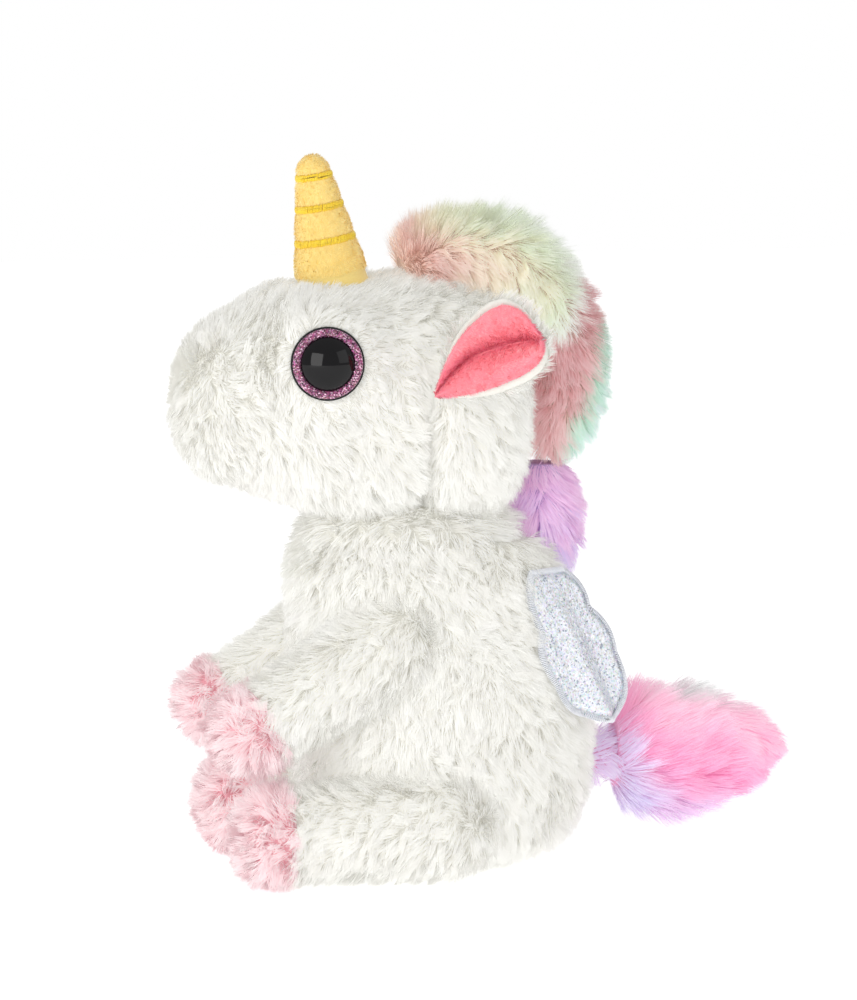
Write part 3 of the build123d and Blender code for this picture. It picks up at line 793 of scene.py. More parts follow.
FRONT_FORM = [
    (0.00, 0, 5.0, 5.0),
    (0.10, 0, 12.5, 12.5),
    (0.25, 0, 14.5, 14.5),
    (0.50, 0, 13.0, 13.0),
    (0.72, 0, 11.5, 11.5),
    (0.78, 0, 11.5, 11.5),
    (0.88, 0, 12.0, 12.0),
    (0.96, 0, 8.8, 8.8),
    (1.00, 0, 0.8, 0.8),
]
HIND_FORM = [
    (0.00, 0, 7.0, 7.0),
    (0.12, 0, 15.5, 15.0),
    (0.35, 0, 17.0, 15.5),
    (0.60, 0, 15.5, 14.0),
    (0.74, 0, 13.5, 13.5),
    (0.86, 0, 14.0, 14.5),
    (0.95, 0, 11.4, 11.8),
    (1.00, 0, 0.8, 0.8),
]


NECK_CLEARING = 26.0        # radius of the bare patch under the head


def torso_keep(roots):
    """No fur where the head covers the torso, nor on its very bottom."""
    neck = pivot("neck_turn")
    inside_neck = np.hypot(roots[:, 0], roots[:, 1] - neck[1]) < NECK_CLEARING
    under_head = (roots[:, 2] > neck[2] - 9) & inside_neck
    return ~under_head & (roots[:, 2] > 0.5)


def torso_comb(roots):
    """Down the sides and a little round to the back."""
    return np.tile((0.0, 0.12, -1.0), (len(roots), 1))


# ---------------------------------------------------------------- head

eye_facts = {}
EYE_RING_MIDDLE = 2.8       # centre of the glitter ring above the eye's back
EYE_TURN, EYE_LIFT = math.radians(9), math.radians(3)
for side_name, side in SIDES:
    lo, hi = box(f"eye_glitter_ring_{side_name}")
    out = np.array((
        side * math.cos(EYE_TURN) * math.cos(EYE_LIFT),
        -math.sin(EYE_TURN) * math.cos(EYE_LIFT),
        math.sin(EYE_LIFT),
    ))
    eye_facts[side_name] = ((lo + hi) / 2 - EYE_RING_MIDDLE * out, out)

band_middles = [sum(box(f"horn_band_{n}")) / 2 for n in ("lower", "middle", "upper")]
horn_out = unit(band_middles[2] - band_middles[0])


def from_axis(points, origin, direction):
    """Distance of points from an axis, and how far along it they are."""
    along = (points - origin) @ direction
    return np.linalg.norm(points - origin - along[:, None] * direction, axis=1), along


EYE_CLEARING, HORN_CLEARING = 11.3, 12.0    # radii of the bare patches under the eyes and horn


def head_keep(roots):
    """No fur under the eyes or the horn's base."""
    kept = np.ones(len(roots), bool)
    for middle, out in eye_facts.values():
        apart, along = from_axis(roots, middle, out)
        kept &= (apart > EYE_CLEARING) | (along < -25)
    apart, along = from_axis(roots, band_middles[0], horn_out)
    kept &= (apart > HORN_CLEARING) | (along < -40)
    return kept


def head_trim(roots):
    """Shorter pile on the muzzle and round the eyes and the horn."""
    share = np.ones(len(roots))
    for middle, out in eye_facts.values():
        apart, _ = from_axis(roots, middle, out)
        share *= 0.5 + 0.5 * smooth(11, 22, apart)
    apart, _ = from_axis(roots, band_middles[0], horn_out)
    share *= 0.6 + 0.4 * smooth(12, 22, apart)
    share *= 0.75 + 0.25 * smooth(-90, -55, roots[:, 1])
    ditch = 1 - np.exp(-(((roots[:, 1] - SEAM_Y) / 3.0) ** 2)) * smooth(178, 165, roots[:, 2])
    return share * (0.55 + 0.45 * ditch)


def face_comb(roots):
    """Back and down from the muzzle, and away from the eyes."""
    comb = np.tile((0.0, 0.9, -0.35), (len(roots), 1))
    comb[:, 2] -= 0.6 * smooth(-60, -15, roots[:, 1])
    comb[:, 1] -= 0.5 * smooth(-40, -15, roots[:, 1]) * smooth(150, 130, roots[:, 2])
    for middle, out in eye_facts.values():
        apart, _ = from_axis(roots, middle, out)
        comb += unit(roots - middle) * (1.1 * smooth(24, 11, apart))[:, None]
    return comb


SEAM_Y = box("face_cover")[1][1]
SEAM_DEPTH, SEAM_SPREAD = 7.5, 3.4
EYE_SEAT, EYE_SWELL, EYE_SINK = 12.0, 26.0, 0.6     # the head swells out to meet the eye's back
ring_y = head.rings[..., 1]
ditch = np.exp(-(((ring_y - SEAM_Y) / SEAM_SPREAD) ** 2)) * smooth(182, 166, head.rings[..., 2])
puff = np.exp(-(((ring_y - SEAM_Y - 15) / 12.0) ** 2)) * smooth(170, 150, head.rings[..., 2])
cheek = np.exp(-(((ring_y - SEAM_Y + 17) / 13.0) ** 2)) * smooth(165, 140, head.rings[..., 2])
head.push(-SEAM_DEPTH * ditch + 1.2 * puff + 1.6 * cheek)
skin_points = head.rings.reshape(-1, 3)
for middle, out in eye_facts.values():
    apart, along = from_axis(skin_points, middle, out)
    meets = smooth(EYE_SWELL, EYE_SEAT, apart) * smooth(-30, -18, along)
    skin_points = skin_points + (meets * (-EYE_SINK - along))[:, None] * out
head.rings = skin_points.reshape(head.rings.shape)
head.refresh()
seam_ring = int(np.argmax(head.rings[..., 1].mean(axis=1) > SEAM_Y))

furry("torso", torso, white_coat, white_backing, "torso", ["body_cover", "body_stuffing"],
      torso_comb, 100, keep=torso_keep)
furry("face", head.part(0, seam_ring + 1), white_coat, white_backing, "head",
      ["face_cover", "head_stuffing"], face_comb, 200, keep=head_keep, trim=head_trim)
furry("back_head", head.part(seam_ring, len(head.rings)), white_coat, white_backing, "head",
      ["back_head_cover"], (0, 0.25, -1.0), 230, keep=head_keep, trim=head_trim)

neck_middle = pivot("neck_turn")
neck = stacked_skin(
    neck_middle - (32, 35, 12), neck_middle + (32, 35, 13), 2,
    [(0, 0, 0, 0.8, 0.8), (0.3, 0, 0, 1, 1), (0.7, 0, 0, 1, 1), (1, 0, 0, 0.8, 0.8)], 0, 2.0, 24,
)
furry("neck", neck, neck_coat, white_backing, "neck", ["neck_stuffing"], (0, 0, -1.0), 260)

legs("front", 16.0, FRONT_FORM, 19.0, 300)
legs("hind", 18.5, HIND_FORM, 17.0, 400)


# ---------------------------------------------------------------- horn

HORN_BANDS = (18.5, 30.0, 40.5)
HORN_LENGTH, HORN_BASE, HORN_TIP = 48.0, 13.6, 5.6
HORN_SHIFT = np.array((0.0, 2.0, -1.0))     # the stuffed horn settles back and down into the fur
HORN_SWELL = 1.0
horn_foot = band_middles[0] - HORN_BANDS[0] * horn_out + HORN_SHIFT


def horn_radius(h):
    """The cone's radius at a height, swelling between the bands and rounded at the tip."""
    h = np.asarray(h, float)
    shoulder = HORN_LENGTH - HORN_TIP
    cone = HORN_BASE + (HORN_TIP - HORN_BASE) * h / shoulder
    edges = np.array((6.0, *HORN_BANDS, HORN_LENGTH + 3.0))
    k = np.clip(np.searchsorted(edges, h) - 1, 0, len(edges) - 2)
    share = np.clip((h - edges[k]) / (edges[k + 1] - edges[k]), 0, 1)
    swollen = cone + HORN_SWELL * (np.sqrt(np.sin(math.pi * share) + 0.0001) - 0.75)
    cap = np.sqrt(np.clip(HORN_TIP**2 - np.clip(h - shoulder, 0, HORN_TIP) ** 2, 0.02, None)) / HORN_TIP
    return swollen * cap


horn_side = unit(np.cross(horn_out, (1.0, 0.0, 0.0)))
horn_shoulder = HORN_LENGTH - HORN_TIP
horn_heights = np.concatenate([
    np.linspace(2, horn_shoulder - 0.4, 90),
    horn_shoulder + (HORN_TIP - 0.02) * np.sin(np.linspace(0, math.pi / 2, 16)),
])
horn_rows = (len(horn_heights), 1)
horn = sections(
    horn_foot + horn_heights[:, None] * horn_out,
    np.tile((1.0, 0, 0), horn_rows), np.tile(horn_side, horn_rows),
    horn_radius(horn_heights), horn_radius(horn_heights), 2.0, 96,
)
furry("horn", horn, horn_coat, horn_cloth, "head", ["horn_cover", "horn_stuffing"], -horn_out, 500,
      keep=lambda roots: ((roots - horn_foot) @ horn_out) > 7)


def tubes(name, paths, radius, material, sides=6):
    """Many short round threads in one mesh; paths is (threads, points, 3) in millimetres."""
    along = unit(np.gradient(paths, axis=1))
    across = unit(np.cross(along, UP + 0.01))
    third = np.cross(along, across)
    turn = np.linspace(0, 2 * math.pi, sides, endpoint=False)
    ring = np.cos(turn)[:, None] * across[:, :, None] + np.sin(turn)[:, None] * third[:, :, None]
    taper = np.ones(paths.shape[1])
    taper[[0, -1]] = 0.55
    points = paths[:, :, None] + ring * (radius * taper)[None, :, None, None]
    count, levels = paths.shape[:2]
    k = np.arange(sides)
    after = (k + 1) % sides
    pattern = [np.stack([i * sides + k, i * sides + after, (i + 1) * sides + after, (i + 1) * sides + k], 1)
               for i in range(levels - 1)]
    walls = np.concatenate(pattern).ravel()
    caps = np.concatenate([k[::-1], (levels - 1) * sides + k])
    one = np.concatenate([walls, caps])
    loops = (one[None] + levels * sides * np.arange(count)[:, None]).ravel()
    sizes = np.tile(np.concatenate([np.full(len(walls) // 4, 4), [sides, sides]]), count)
    return make_mesh(name, points.reshape(-1, 3), loops, sizes, material)


SATIN_SPACING, SATIN_THREAD = 0.42, 0.27        # between stitches, and the thread's radius
CORD_RISE, CORD_HALF_WIDTH = 0.95, 1.35         # of the cord under the stitches


def satin_band(name, height):
    """Satin stitches laid side by side over a cord round the horn."""
    radius = float(horn_radius(height)) + 0.15
    turns = np.linspace(0, 2 * math.pi, int(2 * math.pi * radius / SATIN_SPACING), endpoint=False)
    rand = np.random.default_rng(int(height * 10))
    steps = np.linspace(-1, 1, 7)
    angle = turns[:, None] + 0.035 * steps[None] + rand.normal(0, 0.006, (len(turns), 1))
    cord = CORD_RISE * np.sqrt(1 - 0.92 * steps**2)[None]
    lift = radius + cord + rand.normal(0, 0.04, (len(turns), 1))
    up = height + CORD_HALF_WIDTH * steps[None] + rand.normal(0, 0.05, (len(turns), 1))
    out = np.cos(angle)[..., None] * np.array((1.0, 0, 0)) + np.sin(angle)[..., None] * horn_side
    paths = horn_foot + up[..., None] * horn_out + lift[..., None] * out
    return tubes(name, paths, SATIN_THREAD, gold_thread)


for band, height in zip(("lower", "middle", "upper"), HORN_BANDS):
    placed(satin_band(f"horn_satin_{band}", height), "head", [f"horn_band_{band}"])


# ---------------------------------------------------------------- eyes

def turned(name, origin, axis, profile, material, around=96):
    """A turned piece; the profile is (radius, height) from the axis out and back."""
    side = unit(np.cross(axis, UP))
    third = np.cross(axis, side)
    turn = np.linspace(0, 2 * math.pi, around, endpoint=False)
    ring = np.cos(turn)[:, None] * side + np.sin(turn)[:, None] * third
    profile = np.array(profile, float)
    rings = origin + profile[:, 1, None, None] * axis + profile[:, 0, None, None] * ring[None]
    return skin_object(name, Skin(rings), material)


PUPIL_RADIUS, PUPIL_HEIGHT, EYE_BASE_TOP = 9.2, 4.2, 2.0
PUPIL_LIFT = 1.0            # the dome's rim laps over the glitter ring
dome_angle = 2 * math.atan(PUPIL_HEIGHT / PUPIL_RADIUS)
dome_radius = PUPIL_RADIUS / math.sin(dome_angle)
sweep = np.linspace(dome_angle, 0.004, 28)
dome_foot = EYE_BASE_TOP + PUPIL_LIFT
dome_centre = dome_foot - dome_radius * math.cos(dome_angle)
dome = [(dome_radius * math.sin(a), dome_centre + dome_radius * math.cos(a)) for a in sweep]
RING_INNER, RING_OUTER, RING_RISE = 8.9, 11.8, 1.6
bow = np.linspace(0, math.pi, 15)
ring_form = [
    ((RING_INNER + RING_OUTER) / 2 - (RING_OUTER - RING_INNER) / 2 * math.cos(a),
     EYE_BASE_TOP + 0.1 + RING_RISE * math.sin(a) ** 0.6) for a in bow
]
for side_name, side in SIDES:
    middle, out = eye_facts[side_name]
    placed(turned(f"eye_pupil_dome_{side_name}", middle, out, [(PUPIL_RADIUS, 1.4)] + dome, pupil_gloss),
           "head", [f"eye_pupil_{side_name}"])
    placed(turned(f"eye_glitter_{side_name}", middle, out, ring_form, eye_glitter),
           "head", [f"eye_glitter_ring_{side_name}"])


# ---------------------------------------------------------------- mane and lock

MANE_PATH, MANE_HALF_DEPTH = 45.0, 15.5
MANE_START, MANE_SWEEP = 109.0, 143.0
mane_middle = (box("mane_cover")[1] - MANE_PATH - MANE_HALF_DEPTH) * (0.0, 1.0, 1.0)
# share along the roll, sink towards the head, half across, half up
MANE_FORM = [
    (0.00, 5.5, 6.0, 5.0),
    (0.07, 4.0, 11.0, 8.0),
    (0.20, 1.5, 15.0, 11.5),
    (0.45, 0.0, 15.5, 12.0),
    (0.70, 1.0, 14.0, 11.5),
    (0.88, 1.5, 12.5, 11.0),
    (1.00, 2.0, 6.0, 6.0),
]


mane_share = closing(110)
mane_values = curve(MANE_FORM, mane_share)
mane_angle = np.radians(MANE_START - MANE_SWEEP * mane_share)
mane_out = np.stack([np.zeros_like(mane_angle), np.cos(mane_angle), np.sin(mane_angle)], axis=1)
mane_centres = mane_middle + (MANE_PATH - mane_values[:, :1]) * mane_out
lump = 1 + 0.05 * np.sin(mane_share * 21)
mane = sections(
    mane_centres, np.tile((1.0, 0, 0), (110, 1)), mane_out,
    mane_values[:, 1] * lump, mane_values[:, 2] * lump, 2.1, 72,
)


def mane_comb(roots):
    """Onward along the arc, out over its crest and down its sides."""
    apart = roots - mane_middle
    angle = np.arctan2(apart[:, 2], apart[:, 1])
    zero = np.zeros(len(roots))
    onward = np.stack([zero, np.sin(angle), -np.cos(angle)], axis=1)
    inward = -np.stack([zero, np.cos(angle), np.sin(angle)], axis=1)
    sideways = np.clip(np.abs(roots[:, 0]) / 12, 0, 1)[:, None]
    return onward + 0.5 * sideways * inward


# share along the mane and place on the rainbow ramp; the side table gives deeper colours than the crest's,
# as painted shade
MANE_SIDE_SHADED_HUES = [
    (0, 0.04), (0.12, 0.12), (0.25, 0.22), (0.38, 0.34), (0.5, 0.46), (0.58, 0.70), (0.75, 0.75), (1, 0.80),
]
MANE_CREST_HUES = [(0, 0.04), (0.15, 0.34), (0.30, 0.44), (0.50, 0.60), (0.60, 0.97), (0.8, 0.93), (1, 0.91)]


def mane_colour_and_shade(roots, share, tone):
    """Peach at the front, cream and green over the crest, rose behind the ear, mint and blue outside; the
    sides of the roll are painted deeper than the crest, as shade.
    """
    height = np.hypot(roots[:, 1] - mane_middle[1], roots[:, 2] - mane_middle[2]) - MANE_PATH
    outer = smooth(-2, 11, height + 2.5 * wander(roots, 9.0, 77)[:, 0])
    along = share + 0.05 * wander(roots, 14.0, 78)[:, 1]
    side_shaded_hue = np.interp(along, *zip(*MANE_SIDE_SHADED_HUES))
    crest_hue = np.interp(along, *zip(*MANE_CREST_HUES))
    return side_shaded_hue + (crest_hue - side_shaded_hue) * outer + 0.10 * (tone - 0.5)


furry("mane", mane, mane_coat, mane_backing, "head", ["mane_cover", "mane_stuffing"], mane_comb, 600,
      keep=lambda roots: depth_in(head, roots) > -1.5, hue=mane_colour_and_shade,
      trim=lambda roots: 0.75 + 0.25 * smooth(195, 215, roots[:, 2]))

lock_lo, lock_hi = box("mane_lock")
LOCK_PUFF = np.array((3.0, 5.0, 6.0))
lock = stacked_skin(
    lock_lo - LOCK_PUFF + (0, -4, 2), lock_hi + LOCK_PUFF + (0, -4, 3), 2,
    [(0, 0, 0.25, 0.35, 0.4), (0.25, 0, 0.12, 0.85, 0.8), (0.6, 0, 0, 1, 1), (1, 0, 0, 0.7, 0.7)],
    4.0, 2.0, 50, 56,
)


def lock_hue(roots, share, tone):
    """Lavender at the tip, pinker towards the mane."""
    return 0.15 + 0.55 * share + 0.5 * (tone - 0.5) + 0.12 * wander(roots, 7.0, 79)[:, 0]


furry("lock", lock, lock_coat, lock_backing, "lock", ["mane_lock"], (0, 0.15, -1.0), 640, hue=lock_hue)


# ---------------------------------------------------------------- tail

tail_lo, tail_hi = box("tail_cover")
TAIL_FORM = [
    (0.00, 0, 0.05, 0.72, 0.70),
    (0.12, 0, 0.05, 0.96, 0.94),
    (0.40, 0, 0.00, 1.04, 1.02),
    (0.68, 0, 0.02, 0.80, 0.78),
    (0.90, 0, 0.10, 0.42, 0.36),
    (1.00, 0, 0.14, 0.14, 0.12),
]
tail = stacked_skin(tail_lo + (0, -5, 0), tail_hi - (0, 6, 0), 1, TAIL_FORM, 5.0, 2.0, 80, 64)


def tail_hue(roots, share, tone):
    """Mint along the top edge, pink down the sides, magenta low in the middle, lavender at the root."""
    height = (roots[:, 2] - tail_lo[2]) / (tail_hi[2] - tail_lo[2]) + 0.06 * wander(roots, 9.0, 80)[:, 0]
    hue = np.interp(height, [0.05, 0.3, 0.45, 0.62, 0.8, 0.92], [0.22, 0.40, 0.50, 0.68, 0.80, 0.98])
    root_side = smooth(0.42, 0.10, share + 0.35 * (height - 0.35))
    return hue + (0.06 - hue) * root_side * smooth(0.9, 0.6, height) + 0.16 * (tone - 0.5)


furry("tail", tail, tail_coat, tail_backing, "tail", ["tail_cover", "tail_stuffing"], (0, 1.0, 0.05), 700,
      hue=tail_hue, trim=lambda roots: 1.0 - 0.35 * smooth(tail_hi[1] - 30, tail_hi[1] - 8, roots[:, 1]))

root_lo, root_hi = box("tail_root")
tail_root = stacked_skin(
    root_lo - (0, 3, 0), root_hi + (0, 1, 0), 1,
    [(0, 0, 0, 0.8, 0.8), (0.5, 0, 0, 1, 1), (1, 0, 0, 0.8, 0.8)], 1.0, 2.0, 24, 40,
)
root_coat = Coat(tail_pile, "tail_fur", 8.0, 0.34, 30, 2.0, tuft=4.0, gather=0.3, stray=0.3)
furry("tail_root", tail_root, root_coat, tail_backing, "tail_base", ["tail_root"], (0, 1.0, 0), 740,
      hue=lambda roots, share, tone: 0.05 + 0.12 * tone)


# ---------------------------------------------------------------- ears

EAR_REACH = 41.5
EAR_ALONG = np.array((0.53, 0.71, 0.47))
EAR_TUCK, EAR_DROP = 3.5, 1.0
EAR_END = 1.035             # share of the reach at which the tip closes
# share along, lower edge, crease and upper edge across the ear, depth of the crease, all in mm
EAR_FORM = [
    (0.00, -0.8, 0.2, 1.2, 0.5),
    (0.12, -3.0, 3.2, 5.5, 3.0),
    (0.33, -5.6, 6.2, 11.5, 6.5),
    (0.60, -7.2, 5.2, 15.6, 9.0),
    (0.80, -7.4, 3.2, 16.6, 8.5),
    (0.92, -6.2, 1.2, 14.6, 6.5),
    (1.00, -3.4, -0.6, 8.6, 3.0),
    (EAR_END, -0.6, 0.4, 1.6, 0.8),
]


def ear_frame(side_name, side):
    """The ear's sewn point and its directions: along, across upward and out of its face."""
    joint = joints[f"ear_{side_name}_fold"]
    upward = unit(joint["axis"])
    along = unit(side_point(EAR_ALONG, side))
    upward = upward if upward[2] > 0 else -upward
    facing = unit(np.cross(along, upward)) * side
    return pivot(joint["name"]) - EAR_TUCK * along - EAR_DROP * upward, along, upward, facing


def ear_leaf(side_name, side, front, back, rim, around=26):
    """A closed cupped leaf between two depths, its edge moved out by rim."""
    origin, along, upward, facing = ear_frame(side_name, side)
    share = EAR_END * closing(60)
    bow = np.sin(math.pi * share / EAR_END)
    low, crease, high, deep = curve(EAR_FORM, share).T
    middle = (low + high) / 2
    low = middle + (low - middle) * (1 + rim / 12) - rim * bow * 0.6
    high = middle + (high - middle) * (1 + rim / 12) + rim * bow * 0.6
    t = 0.5 - 0.5 * np.cos(np.linspace(0, math.pi, around))
    lower = t[None] < 0.55
    part = np.where(lower, t / 0.55, (t - 0.55) / 0.45)
    across = np.where(lower, low[:, None] + (crease - low)[:, None] * part**0.8,
                      crease[:, None] + (high - crease)[:, None] * part**1.25)
    belly = 2.6 * np.sin(math.pi * part) ** 0.8
    sink = np.where(lower, deep[:, None] * part**1.8 - belly * 0.9,
                    deep[:, None] * (1 - part) ** 1.5 - belly * 0.35)
    sink = sink - 1.2 * bow[:, None] * (np.abs(2 * t - 1) ** 6)[None]
    sheet = (
        origin + (share * EAR_REACH)[:, None, None] * along
        + across[..., None] * upward - sink[..., None] * facing
    )
    round_edge = np.sqrt(np.clip(1 - (2 * t - 1) ** 8, 0.03, 1))[None, :, None]
    centre_line, half = (front + back) / 2, (front - back) / 2
    face = sheet + (centre_line + half * round_edge) * facing
    rear = sheet + (centre_line - half * round_edge) * facing
    return Skin(np.concatenate([face, rear[:, ::-1]], axis=1))


def faced(skin, roots, direction):
    """How far the skin at each root faces a direction, from -1 to 1."""
    return skin.normals.reshape(-1, 3)[nearest(roots, skin.rings.reshape(-1, 3))] @ direction


def sewn_ear(number, side_name, side):
    """The velour leaf and the fur leaf of one ear."""
    body = f"ear_{side_name}"
    _, along, _, facing = ear_frame(side_name, side)
    inner = ear_leaf(side_name, side, 1.3, -0.6, 0.0)
    outer = ear_leaf(side_name, side, -0.7, -4.2, 1.6)
    creases = inner.rings[:, 14]

    def ear_pink_and_crease_shade(roots, share, tone):
        """The ear's pink, with painted shade: deep rose in the crease, paler towards the lips."""
        row = np.clip((share * (len(creases) - 1)).astype(int), 0, len(creases) - 1)
        apart = roots - creases[row]
        rise = apart @ facing
        reach = np.linalg.norm(apart, axis=1)
        return 0.10 + 0.62 * smooth(0.5, 8.5, rise * 0.9 + reach * 0.45) + 0.30 * (tone - 0.5)

    furry(
        f"ear_inner_{side_name}", inner, ear_nap_coat, ear_cloth, body, [f"ear_inner_{side_name}"],
        along, 800 + number, hue=ear_pink_and_crease_shade,
        keep=lambda roots: faced(inner, roots, facing) > -0.3,
    )
    furry(
        f"ear_outer_{side_name}", outer, ear_coat, white_backing, body, [f"ear_outer_{side_name}"],
        along - 0.35 * facing, 820 + number,
        keep=lambda roots: faced(outer, roots, facing) < 0.1,
        trim=lambda roots: 0.45 + 0.55 * smooth(0.5, 4.0, depth_in(inner, roots)),
    )


for number, (side_name, side) in enumerate(SIDES):
    sewn_ear(number, side_name, side)


# ---------------------------------------------------------------- wings

WING_TURN, WING_LEAN = math.radians(28), math.radians(14)
WING_LENGTH = 53.0
WING_CORNERS = [
    (0.14, 0.00), (0.27, 0.28), (0.36, 0.60), (0.22, 1.00),
    (-0.10, 0.98), (-0.27, 0.76), (-0.24, 0.40), (-0.14, 0.00),
]
SCALLOP = 0.055             # bulge of each scallop, as a share of the wing's length
WING_MARGIN = 2.0           # width of the flat sewn rim
WING_VOXEL = 1.5
WING_HALF_THICKNESS = 1.3   # before it is stuffed
WING_CAP = 3.0              # the most that a point of the cloth moves as it swells
SWELL_FRAMES = 20
PRESSED = 0.42              # thickness of the sewn rim as a share
RIM_SPACING, RIM_THREAD = 0.62, 0.26            # between rim stitches, and the thread's radius
RIM_REACH, RIM_HALF_HEIGHT = 1.5, 0.95          # how far a stitch reaches in, and its height
WING_LIFT = 6.0             # the sewn end tucks up under the lock
WING_SKEW = 0.24            # the wing swings back as it hangs


def wing_frame():
    """The left wing's sewn end and its directions: across, down and out of its face."""
    back = np.array((math.cos(WING_TURN), math.sin(WING_TURN), 0.0))
    across = np.array((-math.sin(WING_TURN), math.cos(WING_TURN), 0.0))
    up = UP * math.cos(WING_LEAN) - back * math.sin(WING_LEAN)
    face = np.cross(across, up)
    return pivot("wing_left_flap") + WING_LIFT * up, across, -up, face if face @ back > 0 else -face


def wing_edge(per_scallop=9):
    """The wing's scalloped outline as (across, down) in millimetres."""
    points = []
    corners = np.array(WING_CORNERS) * WING_LENGTH
    turn = np.sign(np.cross(corners[1] - corners[0], corners[2] - corners[1]))
    for begin, finish in zip(corners, corners[1:]):
        chord = finish - begin
        outward = turn * np.array((chord[1], -chord[0])) / np.linalg.norm(chord)
        bulge = outward * SCALLOP * WING_LENGTH
        for t in np.linspace(0, 1, per_scallop, endpoint=False):
            points.append(begin + chord * t + bulge * 4 * t * (1 - t))
    points.append(corners[-1])
    return np.array(points)


def inside_distance(edge, points):
    """Distance from points to a closed outline; negative outside it."""
    a, b = edge, np.roll(edge, -1, axis=0)
    ab = b - a
    ap = points[:, None] - a[None]
    t = np.clip(np.sum(ap * ab, axis=2) / np.sum(ab * ab, axis=1), 0, 1)
    apart = np.linalg.norm(ap - t[..., None] * ab, axis=2).min(axis=1)
    x, y = points[:, 0][:, None], points[:, 1][:, None]
    level = a[:, 0] + ab[:, 0] * (y - a[:, 1]) / (ab[:, 1] + 1e-12)
    crosses = ((a[:, 1] > y) != (b[:, 1] > y)) & (x < level)
    return np.where(crosses.sum(axis=1) % 2 == 1, apart, -apart)


def wing_pad():
    """A quilted pad in its own plane (across, down, thickness), swollen by a cloth simulation."""
    edge = wing_edge()
    n = len(edge)
    half = np.full(n, WING_HALF_THICKNESS)
    flat = np.concatenate([np.c_[edge, -half], np.c_[edge, half]])
    k = np.arange(n)
    walls = np.stack([k, (k + 1) % n, n + (k + 1) % n, n + k], axis=1)
    loops = np.concatenate([walls.ravel(), k[::-1], n + k])
    sizes = np.concatenate([np.full(n, 4), [n, n]])
    pad = make_mesh("wing_pattern", flat, loops, sizes, wing_glitter)
    bpy.context.view_layer.objects.active = pad
    remesh = pad.modifiers.new("even", "REMESH")
    remesh.mode, remesh.voxel_size = "VOXEL", WING_VOXEL * MM
    bpy.ops.object.modifier_apply(modifier=remesh.name)
    rest = mesh_points(pad.data)
    held = inside_distance(edge, rest[:, :2]) < WING_MARGIN
    pins = pad.vertex_groups.new(name="sewn")
    pins.add([int(i) for i in np.flatnonzero(held)], 1.0, "ADD")
    cloth = pad.modifiers.new("swell", "CLOTH")
    cloth.settings.vertex_group_mass = "sewn"
    cloth.settings.use_pressure = True
    cloth.settings.uniform_pressure_force = 4.0
    cloth.settings.tension_stiffness = 30
    cloth.settings.compression_stiffness = 30
    cloth.settings.effector_weights.gravity = 0.0
    cloth.point_cache.frame_end = SWELL_FRAMES
    for step in range(SWELL_FRAMES):
        bpy.context.scene.frame_set(step + 1)
    swollen = mesh_points(pad.evaluated_get(bpy.context.evaluated_depsgraph_get()).data)
    pad.modifiers.remove(cloth)
    bpy.context.scene.frame_set(1)
    move = swollen - rest
    far = np.linalg.norm(move, axis=1, keepdims=True)
    move *= np.minimum(1, WING_CAP / np.maximum(far, 1e-9))
    pad.data.vertices.foreach_set("co", ((rest + move) * MM).astype(np.float32).ravel())
    finer = pad.modifiers.new("finer", "SUBSURF")
    finer.levels = 1
    bpy.ops.object.modifier_apply(modifier=finer.name)
    points = mesh_points(pad.data)
    loops = np.zeros(len(pad.data.loops), np.int32)
    pad.data.loops.foreach_get("vertex_index", loops)
    sizes = np.zeros(len(pad.data.polygons), np.int32)
    pad.data.polygons.foreach_get("loop_total", sizes)
    bpy.data.objects.remove(pad)
    return edge, points, loops, sizes


def mesh_points(mesh):
    """A mesh's points in millimetres."""
    co = np.zeros(len(mesh.vertices) * 3)
    mesh.vertices.foreach_get("co", co)
    return co.reshape(-1, 3) / MM


def wing_shape(points, edge):
    """Presses the sewn rim thin and lays soft folds down the wing; returns across, down and height."""
    depth = inside_distance(edge, points[:, :2])
    across, down = points[:, 0], points[:, 1]
    thin = PRESSED + (1 - PRESSED) * smooth(WING_MARGIN * 0.5, WING_MARGIN + 1.4, depth)
    channel = 1 - 0.45 * np.exp(-((depth - WING_MARGIN - 0.2) / 0.7) ** 2)
    height = points[:, 2] * thin * channel
    share = down / WING_LENGTH
    fold = 1.7 * np.exp(-(((across + 3.0 - 5 * share) / 5.0) ** 2)) * smooth(0.05, 0.4, share)
    fold -= 1.2 * np.exp(-(((across - 6.5 - 4 * share) / 4.0) ** 2)) * smooth(0.15, 0.5, share)
    wave = 0.9 * np.sin(across * 0.35 + 1.0) * smooth(0.5, 1.0, share)
    ripple = 0.22 * np.sin(across * 1.3 + 0.7 * down) * np.sin(down * 0.9) * smooth(1, 4, depth)
    across = across + WING_SKEW * down
    return across, down, height + fold + wave + ripple + 2.2


wing_cut, wing_points, wing_loops, wing_sizes = wing_pad()
wing_hinge, wing_across, wing_down, wing_face = wing_frame()


def on_wing(points):
    """Takes wing points (across, down, height) to the left wing's place."""
    a, d, h = wing_shape(points, wing_cut)
    return wing_hinge + a[:, None] * wing_across + d[:, None] * wing_down + h[:, None] * wing_face


